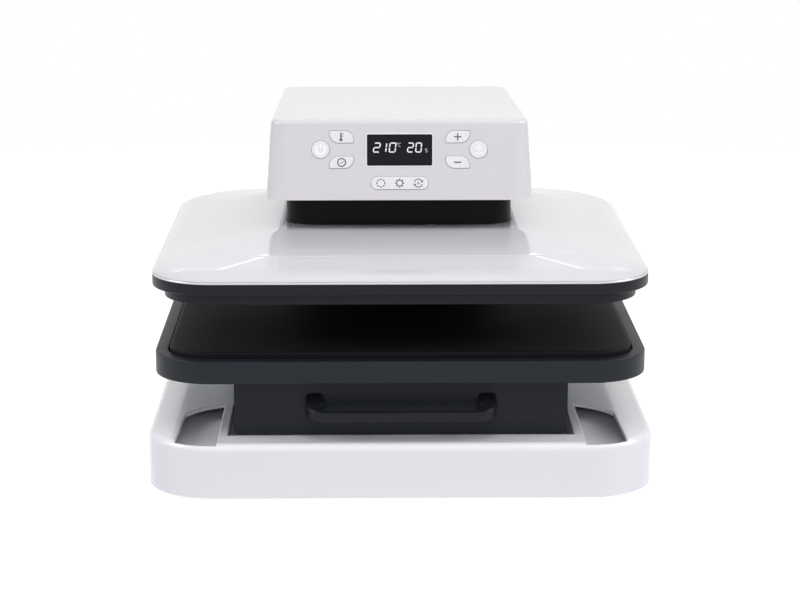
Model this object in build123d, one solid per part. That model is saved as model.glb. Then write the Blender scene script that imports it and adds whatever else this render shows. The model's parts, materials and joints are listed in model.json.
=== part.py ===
from build123d import *
import math
import os

# A craft heat press. X is across, Y runs back and Z is up. While it is being
# modelled, Y is measured back from the front face of the base and Z up from the
# table. save() then moves every piece so that the origin is under the middle.

# Base
base_margin = 7.0
base_corner_radius = 55.0
deck_height = 46.0
deck_edge_radius = 6.0
shell_wall = 3.0
foot_standout = 1.5
foot_radius = 13.0
foot_plug_radius = 5.0
foot_plug_length = 4.0
foot_inset_x = 60.0
foot_inset_y = 52.0
pan_thickness = 2.0
pan_screw_inset = 30.0
pan_screw_length = 5.0
counterbore = 1.0
seat_gap = 0.3

# Openings in the deck beside the drawer
slot_inner = 134.0
slot_width = 8.5
slot_front = 28.0
slot_length = 112.0
rib_width = 7.5
pocket_width = 34.9
pocket_taper = 3.5
pocket_side_end = 92.0
pocket_length = 123.0
pocket_bulge = 4.6
pocket_rim = 3.2
opening_edge_radius = 0.8
liner_gap = 10.5
liner_thickness = 2.0
liner_back_gap = 19.0

# Steel frame
frame_tube_width = 24.0
frame_tube_height = 18.0
frame_tube_wall = 2.0
frame_tube_front = 40.0
frame_bolt_inset = 10.0
side_plate_thickness = 3.5
side_plate_standback = 12.0
side_plate_rear_gap = 3.0
column_web_thickness = 3.0
web_window_margin = 8.0
post_radius = 6.0
post_bore = 2.1
rail_post_inset = 30.0
rail_screw_length = 22.0

# Column covers
column_wall = 2.5
column_gap = 10.0
column_depth = 56.0
column_standback = 12.0
column_corner_radius = 14.0
column_clearance = 0.5
rear_cover_thickness = 3.0
rear_screw_inset_x = 8.0
rear_screw_inset_z = 12.0
rear_screw_length = 9.0
rear_boss_size = 14.0
rear_boss_height = 12.0

# Drawer and its slides
drawer_front = 27.0
drawer_width = 273.0
drawer_clearance = 1.0
drawer_height = 47.0
drawer_fascia = 3.0
fascia_corner_radius = 2.5
drawer_sheet = 2.5
drawer_back_gap = 29.0
slide_depth = 12.7
slide_height = 35.0
slide_length = 340.0
slide_gauge = 1.2
slide_step = 2.8
slide_front = 34.0
slide_lip = 2.0
slide_web_gap = 2.0
slide_member_depth = 7.0
race_inset = 1.0
race_width = 3.0
race_end = 6.0
bracket_thickness = 3.0
bracket_foot = 20.0

# Handle on the drawer
handle_width = 156.0
handle_reach = 25.0
handle_bar_depth = 9.0
handle_bar_height = 8.0
handle_leg_width = 15.0
handle_root_height = 16.0
handle_root_rise = 19.0
handle_bar_rise = 17.0
handle_corner_radius = 12.0
handle_inner_radius = 6.0
handle_screw_depth = 7.0

# Lower platen
tray_front = 10.0
tray_corner_radius = 47.0
tray_height = 19.0
tray_wall = 10.7
tray_floor = 4.0
tray_edge_radius = 1.5
pad_size = 380.0
pad_side_gap = 1.3
pad_corner_radius = 33.0
pad_thickness = 10.0
pad_edge_radius = 2.0
lower_plate_thickness = 9.7

# Upper platen
press_stroke = 38.5
closed_gap = 0.5
heat_plate_thickness = 13.0
heat_plate_edge = 2.0
element_radius = 3.5
element_cover = 1.0
element_bend_gap = 2.0
element_spacing = 52.0
element_span = 130.0
element_lanes = 6
insulation_thickness = 6.5
insulation_inset = 4.0
cutout_radius = 8.0
cutout_height = 4.0
cutout_cap_radius = 5.0
cutout_room = 4.0
skirt_gap = 1.0
skirt_wall = 3.0
skirt_standback = 1.0
bezel_overhang = 4.0
bezel_radius = 60.0
heat_plate_corner_step = 20.0
bezel_height = 9.5
bezel_flange = 3.5
bezel_wall = 6.5
shield_thickness = 1.5
shield_inset = 9.0
pressure_plate_size = 300.0
pressure_plate_thickness = 6.0
pressure_plate_radius = 20.0
standoff_inset = 16.0
cover_wall = 3.0
cover_lip_inset = 1.2
cover_lip_rise = 2.5
cover_roll_inset = 6.0
cover_roll_rise = 5.6
cover_shoulder_inset = 16.0
cover_shoulder_rise = 8.5
cover_crease_inset = 47.0
cover_crease_rise = 13.5
cover_crown_inset = 105.0
cover_crown_rise = 23.5
cover_corner_radius = 14.0

# Neck
neck_width = 193.0
neck_depth = 146.0
neck_radius = 14.0
neck_wall = 3.0
neck_show = 26.5
neck_overlap = 4.0
neck_clearance = 0.8
neck_side_gap = 1.0

# Head
head_side_overhang = 8.5
head_back_overhang = 4.0
head_front_room = 18.0
head_corner_radius = 17.0
head_top_room = 12.1
head_draft = 4.3
head_slope = 3.5
head_wall = 2.5
head_edge_radius = 4.0
head_floor_thickness = 2.5

# Screw drive
bridge_thickness = 5.0
lug_length = 14.0
lug_depth = 10.0
lug_height = 20.0
bridge_gap = 1.0
rod_radius = 6.0
rod_spacing_x = 72.0
rod_spacing_y = 42.0
run_fit = 0.05
bush_length = 25.0
bush_wall = 2.0
guide_tube_wall = 2.0
guide_tube_lip = 1.0
screw_radius = 8.0
screw_flange_radius = 15.0
screw_flange_thickness = 6.0
nut_radius = 12.0
nut_thread_length = 15.0
nut_collar_radius = 15.0
bearing_width = 8.0
bearing_radius = 18.0
bearing_pitch = 17.0
housing_wall = 3.0
housing_floor = 2.0
housing_flange_radius = 27.0
housing_flange_thickness = 4.0
nut_pulley_radius = 20.0
motor_pulley_radius = 10.0
pulley_width = 6.0
pulley_flange = 0.9
pulley_flange_reach = 1.4
pulley_tooth_pitch = 5.2
pulley_tooth_depth = 0.8
pulley_rise = 0.6
belt_thickness = 1.5
belt_gap = 0.3
motor_gap = 0.5
motor_radius = 18.5
motor_length = 57.0
shaft_radius = 3.0
shaft_depth = 16.0

# Control panel, placed on the sloping front face of the head
display_width = 54.5
display_height = 26.2
display_rise = 42.1
lens_stand = 0.2
lens_flange = 2.0
lens_flange_thickness = 1.2
module_margin = 2.0
panel_gap = 0.3
button_stand = 0.5
button_travel = 0.5
button_flange = 1.0
button_flange_thickness = 1.2
button_stem_radius = 1.5
round_button_radius = 7.5
round_button_x = 66.0
round_button_rise = 42.5
leaf_width = 20.2
leaf_height = 10.2
leaf_round = 7.5
leaf_x = 48.5
leaf_upper_rise = 53.1
leaf_lower_rise = 31.8
mode_width = 48.4
mode_height = 11.0
mode_rise = 14.4
board_thickness = 1.6
board_depth = 9.0
board_half_width = 92.0
board_bottom = 5.0
board_height = 56.0
board_post_x = 86.0
board_post_low = 10.0
board_post_high = 56.0
board_post_radius = 3.0
board_screw_radius = 1.0
board_screw_length = 5.0
board_screw_head_radius = 2.0
board_screw_head_height = 1.5
switch_size = 6.0
switch_height = 2.0

# Rear panel fittings
inlet_x = 56.0
inlet_height = 84.0
inlet_mouth_width = 25.0
inlet_mouth_height = 17.5
inlet_wall = 2.0
inlet_flange = 4.0
inlet_flange_thickness = 2.5
inlet_body_depth = 19.0
inlet_cavity = 16.0
inlet_pin_length = 10.0
inlet_pin_pitch = 7.0
inlet_pin_drop = 4.0
inlet_pin_width = 4.0
inlet_pin_thickness = 2.0
inlet_chamfer = 4.4
rocker_x = 8.0
rocker_frame_width = 20.0
rocker_frame_height = 27.0
rocker_frame_wall = 2.5
rocker_body_depth = 15.0
rocker_flange = 1.5
rocker_back = 3.0
rocker_gap = 0.4
rocker_tilt = 8.0
rocker_pivot_depth = 3.0
rocker_reach = 5.0
rocker_dish = 0.8
rocker_belly = 1.5
rocker_taper = 2.0
rocker_pin_radius = 1.2
fan_size = 60.0
fan_thickness = 15.0
fan_rim = 2.0
fan_hole_inset = 5.0
fan_plate = 2.5
fan_strut_width = 3.5
fan_drop = 40.5
fan_hub_radius = 11.0
fan_hub_gap = 0.5
fan_rotor_standback = 1.0
fan_pin_standback = 3.0
fan_blade_count = 7
fan_blade_gap = 1.0
fan_blade_root = 2.0
fan_blade_chord = 10.0
fan_blade_thickness = 1.6
fan_blade_twist = 35.0
fan_pin_radius = 1.5
louvre_width = 130.0
louvre_height = 3.0
louvre_pitch = 8.0
louvre_count = 5
louvre_gap = 11.0
grille_bar = 2.5
power_board_width = 150.0
power_board_height = 90.0
power_board_low = 66.0
power_board_standoff = 8.0
power_standoff_radius = 3.0
power_hole_inset = 8.0
power_part_depth = 16.0
transformer_width = 36.0
transformer_height = 30.0
transformer_x = -44.0
transformer_rise = 25.0
relay_rise = 66.0
capacitor_radius = 6.0
capacitor_pitch = 14.0
capacitor_count = 3
fin_thickness = 2.0
fin_pitch = 6.0
fin_count = 5
fin_height = 36.0
fin_start = 40.0

# Screws
screw_hole_gap = 0.1
screw_head_radius = 3.5
screw_head_height = 2.2
screw_shank_radius = 2.0

# Heights worked out from the sizes above
pan_top = foot_standout + pan_thickness
frame_top = pan_top + frame_tube_height
liner_top = frame_top + liner_gap + liner_thickness
deck_bottom = deck_height - shell_wall
drawer_bottom = deck_height + drawer_clearance
tray_bottom = drawer_bottom + drawer_height
tray_floor_top = tray_bottom + tray_floor
tray_rim = tray_bottom + tray_height
lower_plate_top = tray_floor_top + lower_plate_thickness
pad_bottom = lower_plate_top + seat_gap
pad_top = pad_bottom + pad_thickness
heat_plate_bottom = pad_top + closed_gap + press_stroke
heat_plate_top = heat_plate_bottom + heat_plate_thickness
bezel_top = heat_plate_top + insulation_thickness
bezel_bottom = bezel_top - bezel_height
shield_top = bezel_top + shield_thickness
pressure_plate_top = shield_top + pressure_plate_thickness
cover_crown = bezel_top + cover_crown_rise
head_bottom = cover_crown + neck_show
neck_top = head_bottom + press_stroke + neck_overlap
bridge_bottom = neck_top + bridge_gap
bridge_top = bridge_bottom + bridge_thickness
head_floor_top = head_bottom + head_floor_thickness
rod_top = bridge_bottom - 2 * bridge_gap
bush_top = rod_top - press_stroke - seat_gap
bush_bottom = bush_top - bush_length
pulley_bottom = bridge_top + pulley_rise
pulley_top = pulley_bottom + pulley_width
screw_top = pulley_top + seat_gap
nut_thread_top = screw_top - press_stroke - seat_gap
nut_bottom = nut_thread_top - nut_thread_length
upper_bearing_top = bridge_bottom - housing_flange_thickness
lower_bearing_bottom = upper_bearing_top - bearing_pitch - bearing_width
head_front_height = screw_top + head_top_room - head_bottom

# Places in plan worked out from the sizes above
tray_size = pad_size + 2 * (tray_wall + pad_side_gap)
heat_plate_size = pad_size
heat_plate_radius = bezel_radius - heat_plate_corner_step
bezel_width = tray_size + 2 * bezel_overhang
bezel_depth = tray_size
platen_y = tray_front + tray_size / 2
column_front = tray_front + tray_size + column_gap
column_back = column_front + column_depth
base_width = tray_size + 2 * base_margin
base_depth = column_back + column_standback
side_plate_inner = neck_width / 2 + neck_side_gap
column_half = side_plate_inner + side_plate_thickness + column_clearance + column_wall
rear_cover_inner = column_back - rear_cover_thickness
side_plate_front = column_front + side_plate_standback
side_plate_back = rear_cover_inner - side_plate_rear_gap
arm_front = platen_y - neck_depth / 2 - bridge_gap - lug_depth
head_front = arm_front - head_front_room
head_depth = column_back + head_back_overhang - head_front
head_width = 2 * (column_half + head_side_overhang)
frame_tube_inner = side_plate_inner + side_plate_thickness
frame_tube_outer = frame_tube_inner + frame_tube_width
drawer_half = drawer_width / 2
drawer_back = column_front - drawer_back_gap
slide_wall = drawer_half - drawer_sheet
slide_root = slide_wall - slide_depth
slide_middle_height = (drawer_bottom + tray_bottom - drawer_sheet) / 2
motor_x = -(motor_radius + motor_gap + housing_flange_radius)
bridge_half = platen_y - arm_front
pocket_inner = slot_inner + slot_width + rib_width
rib_inner = slot_inner + slot_width
fan_bore_radius = fan_size / 2 - fan_rim
fan_height = head_bottom - fan_drop
louvre_low = (fan_height - fan_bore_radius - louvre_gap - louvre_height
              - (louvre_count - 1) * louvre_pitch)

# The front face of the head leans back by the draft angle
panel = Plane(
    origin=(0, head_front, head_bottom),
    x_dir=(1, 0, 0),
    z_dir=(0, -math.cos(math.radians(head_draft)), math.sin(math.radians(head_draft))),
)


def block(x0, x1, y0, y1, z0, z1):
    """A block between two opposite corners."""
    middle = Pos((x0 + x1) / 2, (y0 + y1) / 2, (z0 + z1) / 2)
    return middle * Box(abs(x1 - x0), abs(y1 - y0), abs(z1 - z0))


def both_sides(shape):
    """The shape and its mirror image across the middle."""
    return [shape, mirror(shape, Plane.YZ)]


def slab(width, depth, radius, centre_y, z0, z1):
    """A flat plate with rounded corners in plan."""
    return Pos(0, centre_y, z0) * extrude(RectangleRounded(width, depth, radius), z1 - z0)


def rod(x, y, z0, z1, radius):
    """An upright round bar."""
    return Pos(x, y, (z0 + z1) / 2) * Cylinder(radius, z1 - z0)


def tube(x, y, z0, z1, outer, inner):
    """An upright round tube."""
    return rod(x, y, z0, z1, outer) - rod(x, y, z0, z1, inner)


def bar_along_y(x, z, y0, y1, radius):
    """A round bar that runs from front to back."""
    return Pos(x, (y0 + y1) / 2, z) * Rot(90, 0, 0) * Cylinder(radius, y1 - y0)


def bar_along_x(y, z, x0, x1, radius):
    """A round bar that runs across."""
    return Pos((x0 + x1) / 2, y, z) * Rot(0, 90, 0) * Cylinder(radius, x1 - x0)


def screw_down(x, y, z_head, length):
    """A screw put in from above, its head on z_head."""
    head = rod(x, y, z_head, z_head + screw_head_height, screw_head_radius)
    return head + rod(x, y, z_head - length, z_head, screw_shank_radius)


def screw_forward(x, z, y_head, length):
    """A screw put in from the back, its head behind y_head."""
    head = bar_along_y(x, z, y_head, y_head + screw_head_height, screw_head_radius)
    return head + bar_along_y(x, z, y_head - length, y_head, screw_shank_radius)


def save(name, *shapes):
    """Writes a node, with its origin moved under the middle of the press."""
    solids = []
    for shape in shapes:
        solids.extend(shape.solids())
    moved = [Pos(0, -base_depth / 2, 0) * solid for solid in solids]
    export_step(Compound(moved), os.path.join("parts", name + ".step"))


# Base

def foot_places():
    """Where the four feet stand."""
    places = []
    for side in (-1, 1):
        for y in (foot_inset_y, base_depth - foot_inset_y):
            places.append((side * (base_width / 2 - foot_inset_x), y))
    return places


def pan_screw_places():
    """Where the pan is screwed to the frame tubes."""
    middle = frame_tube_inner + frame_tube_width / 2
    places = []
    for side in (-1, 1):
        for y in (frame_tube_front + pan_screw_inset, platen_y,
                  side_plate_front - pan_screw_inset):
            places.append((side * middle, y))
    return places


def rail_post_places():
    """Where posts carry the slide brackets down to the frame."""
    x = slide_root - bracket_thickness - bracket_foot / 2
    y0 = slide_front + rail_post_inset
    y1 = slide_front + slide_length - rail_post_inset
    return [(side * x, y) for side in (-1, 1) for y in (y0, y1)]


def base_outline(inset):
    """The plan of the base, shrunk all round."""
    outline = RectangleRounded(base_width - 2 * inset, base_depth - 2 * inset,
                               base_corner_radius - inset)
    return Pos(0, base_depth / 2) * outline


def pocket_outline():
    """The opening outside the rib: it narrows backwards and ends in a bow."""
    outer = pocket_inner + pocket_width
    side_end = Vector(outer - pocket_taper, pocket_side_end)
    back = Vector(pocket_inner, pocket_length)
    chord = back - side_end
    outward = Vector(-chord.Y, chord.X).normalized() * -pocket_bulge
    bow = ThreePointArc(side_end, (side_end + back) / 2 + outward, back)
    sides = Polyline(back, (pocket_inner, 0), (outer, 0), side_end)
    return make_face(sides + bow) & base_outline(pocket_rim)


def deck_openings():
    """Cutters for the pockets and for the slots beside the drawer."""
    height = deck_height - liner_top
    pocket = Pos(0, 0, liner_top) * extrude(pocket_outline(), height)
    slot = block(slot_inner, rib_inner, slot_front, slot_front + slot_length,
                 liner_top, deck_height)
    return both_sides(pocket) + both_sides(slot)


def is_opening_rim(edge, openings):
    """True for an edge round the top of an opening in the deck."""
    middle = edge.position_at(0.5)
    if middle.Z < deck_bottom + opening_edge_radius:
        return False
    if abs(edge.tangent_at(0.5).Z) > 0.9:
        return False
    return any(opening.distance_to(middle) < seat_gap / 10 for opening in openings)


def base_shell():
    outer = Pos(0, 0, foot_standout) * extrude(base_outline(0), deck_height - foot_standout)
    outer = fillet(outer.faces().sort_by(Axis.Z)[-1].edges(), deck_edge_radius)
    inner = Pos(0, 0, foot_standout) * extrude(base_outline(shell_wall),
                                               deck_bottom - foot_standout)
    shell = outer - inner
    rib = block(rib_inner, pocket_inner, 0, slot_front + slot_length, liner_top, deck_bottom)
    for piece in both_sides(rib):
        shell = shell + (piece & inner)
    openings = deck_openings()
    for opening in openings:
        shell = shell - opening
    rims = [edge for edge in shell.edges() if is_opening_rim(edge, openings)]
    shell = fillet(rims, opening_edge_radius)
    half = frame_tube_inner + column_clearance
    shell = shell - block(-half, half, side_plate_front - column_clearance,
                          side_plate_back + column_clearance, deck_bottom, deck_height)
    for x, y in rail_post_places():
        shell = shell - rod(x, y, deck_bottom, deck_height, post_bore)
    return shell


def base_liner():
    """The white floor seen through the openings in the deck."""
    outline = base_outline(shell_wall + seat_gap)
    plate = Pos(0, 0, liner_top - liner_thickness) * extrude(outline, liner_thickness)
    plate = plate - block(-base_width, base_width, column_front - liner_back_gap, base_depth,
                          0, deck_height)
    for x, y in rail_post_places():
        plate = plate - rod(x, y, 0, deck_height, post_radius + seat_gap)
    return plate


def base_pan():
    outline = base_outline(shell_wall + seat_gap)
    pan = Pos(0, 0, foot_standout) * extrude(outline, pan_thickness)
    for x, y in foot_places():
        pan = pan - rod(x, y, 0, pan_top, foot_plug_radius + screw_hole_gap)
    for x, y in pan_screw_places():
        pan = pan - rod(x, y, 0, pan_top, screw_shank_radius + screw_hole_gap)
        pan = pan - rod(x, y, 0, pan_top - counterbore, screw_head_radius + screw_hole_gap)
    return pan


def rubber_feet():
    feet = []
    for x, y in foot_places():
        pad = rod(x, y, 0, foot_standout, foot_radius)
        feet.append(pad + rod(x, y, foot_standout, foot_standout + foot_plug_length,
                              foot_plug_radius))
    return feet


def pan_screws():
    screws = []
    for x, y in pan_screw_places():
        head = rod(x, y, foot_standout, pan_top - counterbore, screw_head_radius)
        screws.append(head + rod(x, y, pan_top - counterbore, pan_top + pan_screw_length,
                                 screw_shank_radius))
    return screws


# Steel frame

def frame_tube(x0, x1, y0, y1, along_y):
    """A box-section tube lying on the pan."""
    wall = frame_tube_wall
    outer = block(x0, x1, y0, y1, pan_top, frame_top)
    if along_y:
        inner = block(x0 + wall, x1 - wall, y0, y1, pan_top + wall, frame_top - wall)
    else:
        inner = block(x0, x1, y0 + wall, y1 - wall, pan_top + wall, frame_top - wall)
    return outer - inner


def base_frame():
    long_tube = frame_tube(frame_tube_inner, frame_tube_outer, frame_tube_front,
                           side_plate_back, True)
    front_cross = frame_tube(-frame_tube_inner, frame_tube_inner, frame_tube_front,
                             frame_tube_front + frame_tube_width, False)
    rear_cross = frame_tube(-frame_tube_inner, frame_tube_inner,
                            side_plate_front - frame_tube_width - seat_gap,
                            side_plate_front - seat_gap, False)
    frame = front_cross + rear_cross
    for piece in both_sides(long_tube):
        frame = frame + piece
    for x, y in pan_screw_places():
        frame = frame - rod(x, y, pan_top, pan_top + frame_tube_wall,
                            screw_shank_radius + screw_hole_gap)
    for y, z in frame_bolt_places():
        frame = frame - bar_along_x(y, z, -frame_tube_outer, frame_tube_outer,
                                    screw_shank_radius + screw_hole_gap)
    return frame


def frame_bolt_places():
    """Where bolts clamp the side plates to the frame tubes."""
    z = pan_top + frame_tube_height / 2
    return [(side_plate_front + frame_bolt_inset, z), (side_plate_back - frame_bolt_inset, z)]


def side_plate():
    """One cheek of the C frame: a column with an arm over the platen."""
    x0 = side_plate_inner
    x1 = frame_tube_inner
    column = block(x0, x1, side_plate_front, side_plate_back, pan_top, bridge_bottom)
    arm = block(x0, x1, arm_front, side_plate_back, head_floor_top + seat_gap, bridge_bottom)
    plate = column + arm
    bridge_back = platen_y + bridge_half
    drop = (side_plate_back - bridge_back) * math.tan(math.radians(head_slope))
    corner = Polyline((bridge_back, bridge_bottom), (side_plate_back, bridge_bottom),
                      (side_plate_back, bridge_bottom - drop), close=True)
    corner = Plane(origin=(0, 0, 0), x_dir=(0, 1, 0), z_dir=(1, 0, 0)) * make_face(corner)
    plate = plate - extrude(corner, side_plate_inner + 2 * side_plate_thickness)
    for y, z in frame_bolt_places():
        plate = plate - bar_along_x(y, z, x0, x1, screw_shank_radius + screw_hole_gap)
    return plate


def side_plates():
    """Both cheeks, with the lugs and bosses welded inside them."""
    cheeks = []
    for side, plate in zip((1, -1), both_sides(side_plate())):
        for piece in bridge_lugs() + rear_bosses():
            if side * piece.center().X > 0:
                plate = plate + piece
        cheeks.append(plate)
    return cheeks


def frame_screws():
    """Every screw and bolt that stays with the frame."""
    groups = [pan_screws(), frame_bolts(), bracket_screws(), rear_screws(), fan_screws(),
              board_screws(), bridge_bolts()]
    return [screw for group in groups for screw in group]


def column_web():
    """The plate that joins the two cheeks behind the platen."""
    web = block(-side_plate_inner, side_plate_inner, side_plate_front,
                side_plate_front + column_web_thickness, pan_top, bridge_bottom)
    window = block(-side_plate_inner / 2, side_plate_inner / 2, 0, base_depth,
                   head_floor_top + web_window_margin, bridge_bottom - web_window_margin)
    return web - window


def frame_bolts():
    bolts = []
    for y, z in frame_bolt_places():
        shank = bar_along_x(y, z, side_plate_inner, frame_tube_outer, screw_shank_radius)
        head = bar_along_x(y, z, side_plate_inner - screw_head_height, side_plate_inner,
                           screw_head_radius)
        bolts.extend(both_sides(shank + head))
    return bolts


def rail_posts():
    posts = []
    for x, y in rail_post_places():
        posts.append(tube(x, y, frame_top, deck_bottom, post_radius, post_bore))
    return posts


# Column covers

def column_cover():
    """The front and the two sides of the column in one moulding."""
    outer = slab(2 * column_half, column_depth + column_corner_radius, column_corner_radius,
                 column_front + (column_depth + column_corner_radius) / 2,
                 deck_height, head_bottom)
    outer = outer - block(-base_width, base_width, column_back, base_depth * 2,
                          0, head_bottom + 1)
    inner_depth = column_depth - column_wall + column_corner_radius
    inner = slab(2 * (column_half - column_wall), inner_depth,
                 column_corner_radius - column_wall,
                 column_front + column_wall + inner_depth / 2, deck_height, head_bottom)
    return outer - inner


def rear_cover_half():
    return column_half - column_wall - seat_gap


def rear_screw_places():
    """Where the rear cover is screwed to its bosses."""
    x = rear_cover_half() - rear_screw_inset_x
    heights = (deck_height + rear_screw_inset_z, head_bottom - rear_screw_inset_z)
    return [(side * x, z) for side in (-1, 1) for z in heights]


def rear_cover():
    half = rear_cover_half()
    cover = block(-half, half, rear_cover_inner, column_back,
                  deck_height + seat_gap, head_bottom - seat_gap)
    for i in range(louvre_count):
        z = louvre_low + i * louvre_pitch
        cover = cover - block(-louvre_width / 2, louvre_width / 2, rear_cover_inner, column_back,
                              z, z + louvre_height)
    opening = bar_along_y(0, fan_height, rear_cover_inner, column_back, fan_bore_radius)
    bars = Part()
    for radius in (fan_hub_radius, (fan_hub_radius + fan_bore_radius) / 2):
        bars = bars + bar_along_y(0, fan_height, rear_cover_inner, column_back, radius + grille_bar)
        bars = bars - bar_along_y(0, fan_height, rear_cover_inner, column_back, radius)
    for angle in (0, 45, 90, 135):
        bar = Rot(0, angle, 0) * Box(2 * fan_bore_radius, rear_cover_thickness, grille_bar)
        bars = bars + Pos(0, (rear_cover_inner + column_back) / 2, fan_height) * bar
    cover = cover - (opening - bars)
    cover = cover - inlet_block(seat_gap)
    cover = cover - rocker_block(seat_gap)
    for x, z in rear_screw_places():
        cover = cover - bar_along_y(x, z, rear_cover_inner, column_back,
                                    screw_shank_radius + screw_hole_gap)
    return cover


def rear_bosses():
    """Blocks on the cheeks that take the rear cover's screws."""
    bosses = []
    for x, z in rear_screw_places():
        side = 1 if x > 0 else -1
        boss = block(side * (side_plate_inner - rear_boss_size), side * side_plate_inner,
                     rear_cover_inner - rear_boss_size, rear_cover_inner,
                     z - rear_boss_height / 2, z + rear_boss_height / 2)
        hole = bar_along_y(x, z, rear_cover_inner - rear_screw_length, rear_cover_inner,
                           screw_shank_radius + screw_hole_gap)
        bosses.append(boss - hole)
    return bosses


def rear_screws():
    return [screw_forward(x, z, column_back, rear_screw_length) for x, z in rear_screw_places()]


# Rear panel fittings

def inlet_block(gap):
    """The body of the mains inlet, grown by a gap."""
    half_x = inlet_mouth_width / 2 + inlet_wall + gap
    half_z = inlet_mouth_height / 2 + inlet_wall + gap
    return block(inlet_x - half_x, inlet_x + half_x, column_back - inlet_body_depth, column_back,
                 inlet_height - half_z, inlet_height + half_z)


def inlet_body():
    flange_x = inlet_mouth_width / 2 + inlet_wall + inlet_flange
    flange_z = inlet_mouth_height / 2 + inlet_wall + inlet_flange
    face = column_back + inlet_flange_thickness
    flange = block(inlet_x - flange_x, inlet_x + flange_x, column_back, face,
                   inlet_height - flange_z, inlet_height + flange_z)
    body = inlet_block(0) + flange
    mouth = block(inlet_x - inlet_mouth_width / 2, inlet_x + inlet_mouth_width / 2,
                  face - inlet_cavity, face,
                  inlet_height - inlet_mouth_height / 2, inlet_height + inlet_mouth_height / 2)
    upper = mouth.edges().filter_by(Axis.Y).group_by(Axis.Z)[-1]
    return body - chamfer(upper, inlet_chamfer)


def inlet_pins():
    """Two live blades and the earth blade above them."""
    floor = column_back + inlet_flange_thickness - inlet_cavity
    places = [(-inlet_pin_pitch, -inlet_pin_drop / 2), (inlet_pin_pitch, -inlet_pin_drop / 2),
              (0, inlet_pin_drop / 2)]
    pins = []
    for x, z in places:
        middle_x = inlet_x + x
        middle_z = inlet_height + z
        pins.append(block(middle_x - inlet_pin_thickness / 2, middle_x + inlet_pin_thickness / 2,
                          floor, floor + inlet_pin_length,
                          middle_z - inlet_pin_width / 2, middle_z + inlet_pin_width / 2))
    return pins


def rocker_block(gap):
    """The body of the rocker switch, grown by a gap."""
    half_x = rocker_frame_width / 2 + gap
    half_z = rocker_frame_height / 2 + gap
    return block(rocker_x - half_x, rocker_x + half_x, column_back - rocker_body_depth,
                 column_back, inlet_height - half_z, inlet_height + half_z)


def rocker_profile():
    """Side view of the rocker about its pivot: a shallow V whose tips clear the frame."""
    swing = rocker_frame_height / 2 - rocker_frame_wall - rocker_gap
    half = math.sqrt(swing * swing - rocker_reach * rocker_reach)
    heel = half - rocker_taper
    points = [(-half, rocker_reach), (0, rocker_reach - rocker_dish), (half, rocker_reach),
              (heel, -rocker_belly), (-heel, -rocker_belly)]
    return make_face(Polyline(*points, close=True))


def rocker_switch_body():
    flange_x = rocker_frame_width / 2 + rocker_flange
    flange_z = rocker_frame_height / 2 + rocker_flange
    face = column_back + rocker_flange
    flange = block(rocker_x - flange_x, rocker_x + flange_x, column_back, face,
                   inlet_height - flange_z, inlet_height + flange_z)
    body = rocker_block(0) + flange
    cavity = block(rocker_x - rocker_frame_width / 2 + rocker_frame_wall,
                   rocker_x + rocker_frame_width / 2 - rocker_frame_wall,
                   column_back - rocker_body_depth + rocker_back, face,
                   inlet_height - rocker_frame_height / 2 + rocker_frame_wall,
                   inlet_height + rocker_frame_height / 2 - rocker_frame_wall)
    pin = bar_along_x(column_back - rocker_pivot_depth, inlet_height,
                      rocker_x - rocker_frame_width / 2 + rocker_frame_wall,
                      rocker_x + rocker_frame_width / 2 - rocker_frame_wall, rocker_pin_radius)
    return body - cavity + pin


def rocker():
    width = rocker_frame_width - 2 * rocker_frame_wall - 2 * rocker_gap
    solid = extrude(rocker_profile(), width / 2, both=True)
    bore = Cylinder(rocker_pin_radius + run_fit, 2 * width)
    solid = solid - bore
    lying = Plane(origin=(0, 0, 0), x_dir=(0, 0, -1), z_dir=(1, 0, 0)) * solid
    tilted = Rot(rocker_tilt, 0, 0) * lying
    return Pos(rocker_x, column_back - rocker_pivot_depth, inlet_height) * tilted


def fan_frame():
    y1 = rear_cover_inner - seat_gap
    y0 = y1 - fan_thickness
    half = fan_size / 2
    frame = block(-half, half, y0, y1, fan_height - half, fan_height + half)
    frame = frame - bar_along_y(0, fan_height, y0, y1, fan_bore_radius)
    hub = bar_along_y(0, fan_height, y0, y0 + fan_plate, fan_hub_radius)
    for angle in (45, 135):
        strut = Rot(0, angle, 0) * Box(fan_size, fan_plate, fan_strut_width)
        hub = hub + Pos(0, y0 + fan_plate / 2, fan_height) * strut
    pin = bar_along_y(0, fan_height, y0, y1 - fan_pin_standback, fan_pin_radius)
    for x, z in fan_screw_places():
        frame = frame - bar_along_y(x, z, y0, y1, screw_shank_radius + screw_hole_gap)
    return frame + hub + pin


def fan_screw_places():
    reach = fan_size / 2 - fan_hole_inset
    return [(sx * reach, fan_height + sz * reach) for sx in (-1, 1) for sz in (-1, 1)]


def fan_rotor():
    y1 = rear_cover_inner - seat_gap - fan_rotor_standback
    y0 = rear_cover_inner - fan_thickness + fan_plate
    rotor = bar_along_y(0, fan_height, y0, y1, fan_hub_radius - fan_hub_gap)
    reach = fan_bore_radius - fan_blade_gap - fan_hub_radius + fan_blade_root
    for i in range(fan_blade_count):
        blade = Rot(0, 0, fan_blade_twist) * Box(fan_blade_thickness, fan_blade_chord, reach)
        blade = Pos(0, 0, fan_hub_radius - fan_blade_root + reach / 2) * blade
        blade = Rot(0, 360 / fan_blade_count * i, 0) * blade
        rotor = rotor + Pos(0, (y0 + y1) / 2, fan_height) * blade
    return rotor - bar_along_y(0, fan_height, y0, y1, fan_pin_radius + run_fit)


def fan_screws():
    y0 = rear_cover_inner - seat_gap - fan_thickness
    screws = []
    for x, z in fan_screw_places():
        head = bar_along_y(x, z, y0 - screw_head_height, y0, screw_head_radius)
        screws.append(head + bar_along_y(x, z, y0, y0 + fan_thickness, screw_shank_radius))
    return screws


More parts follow.
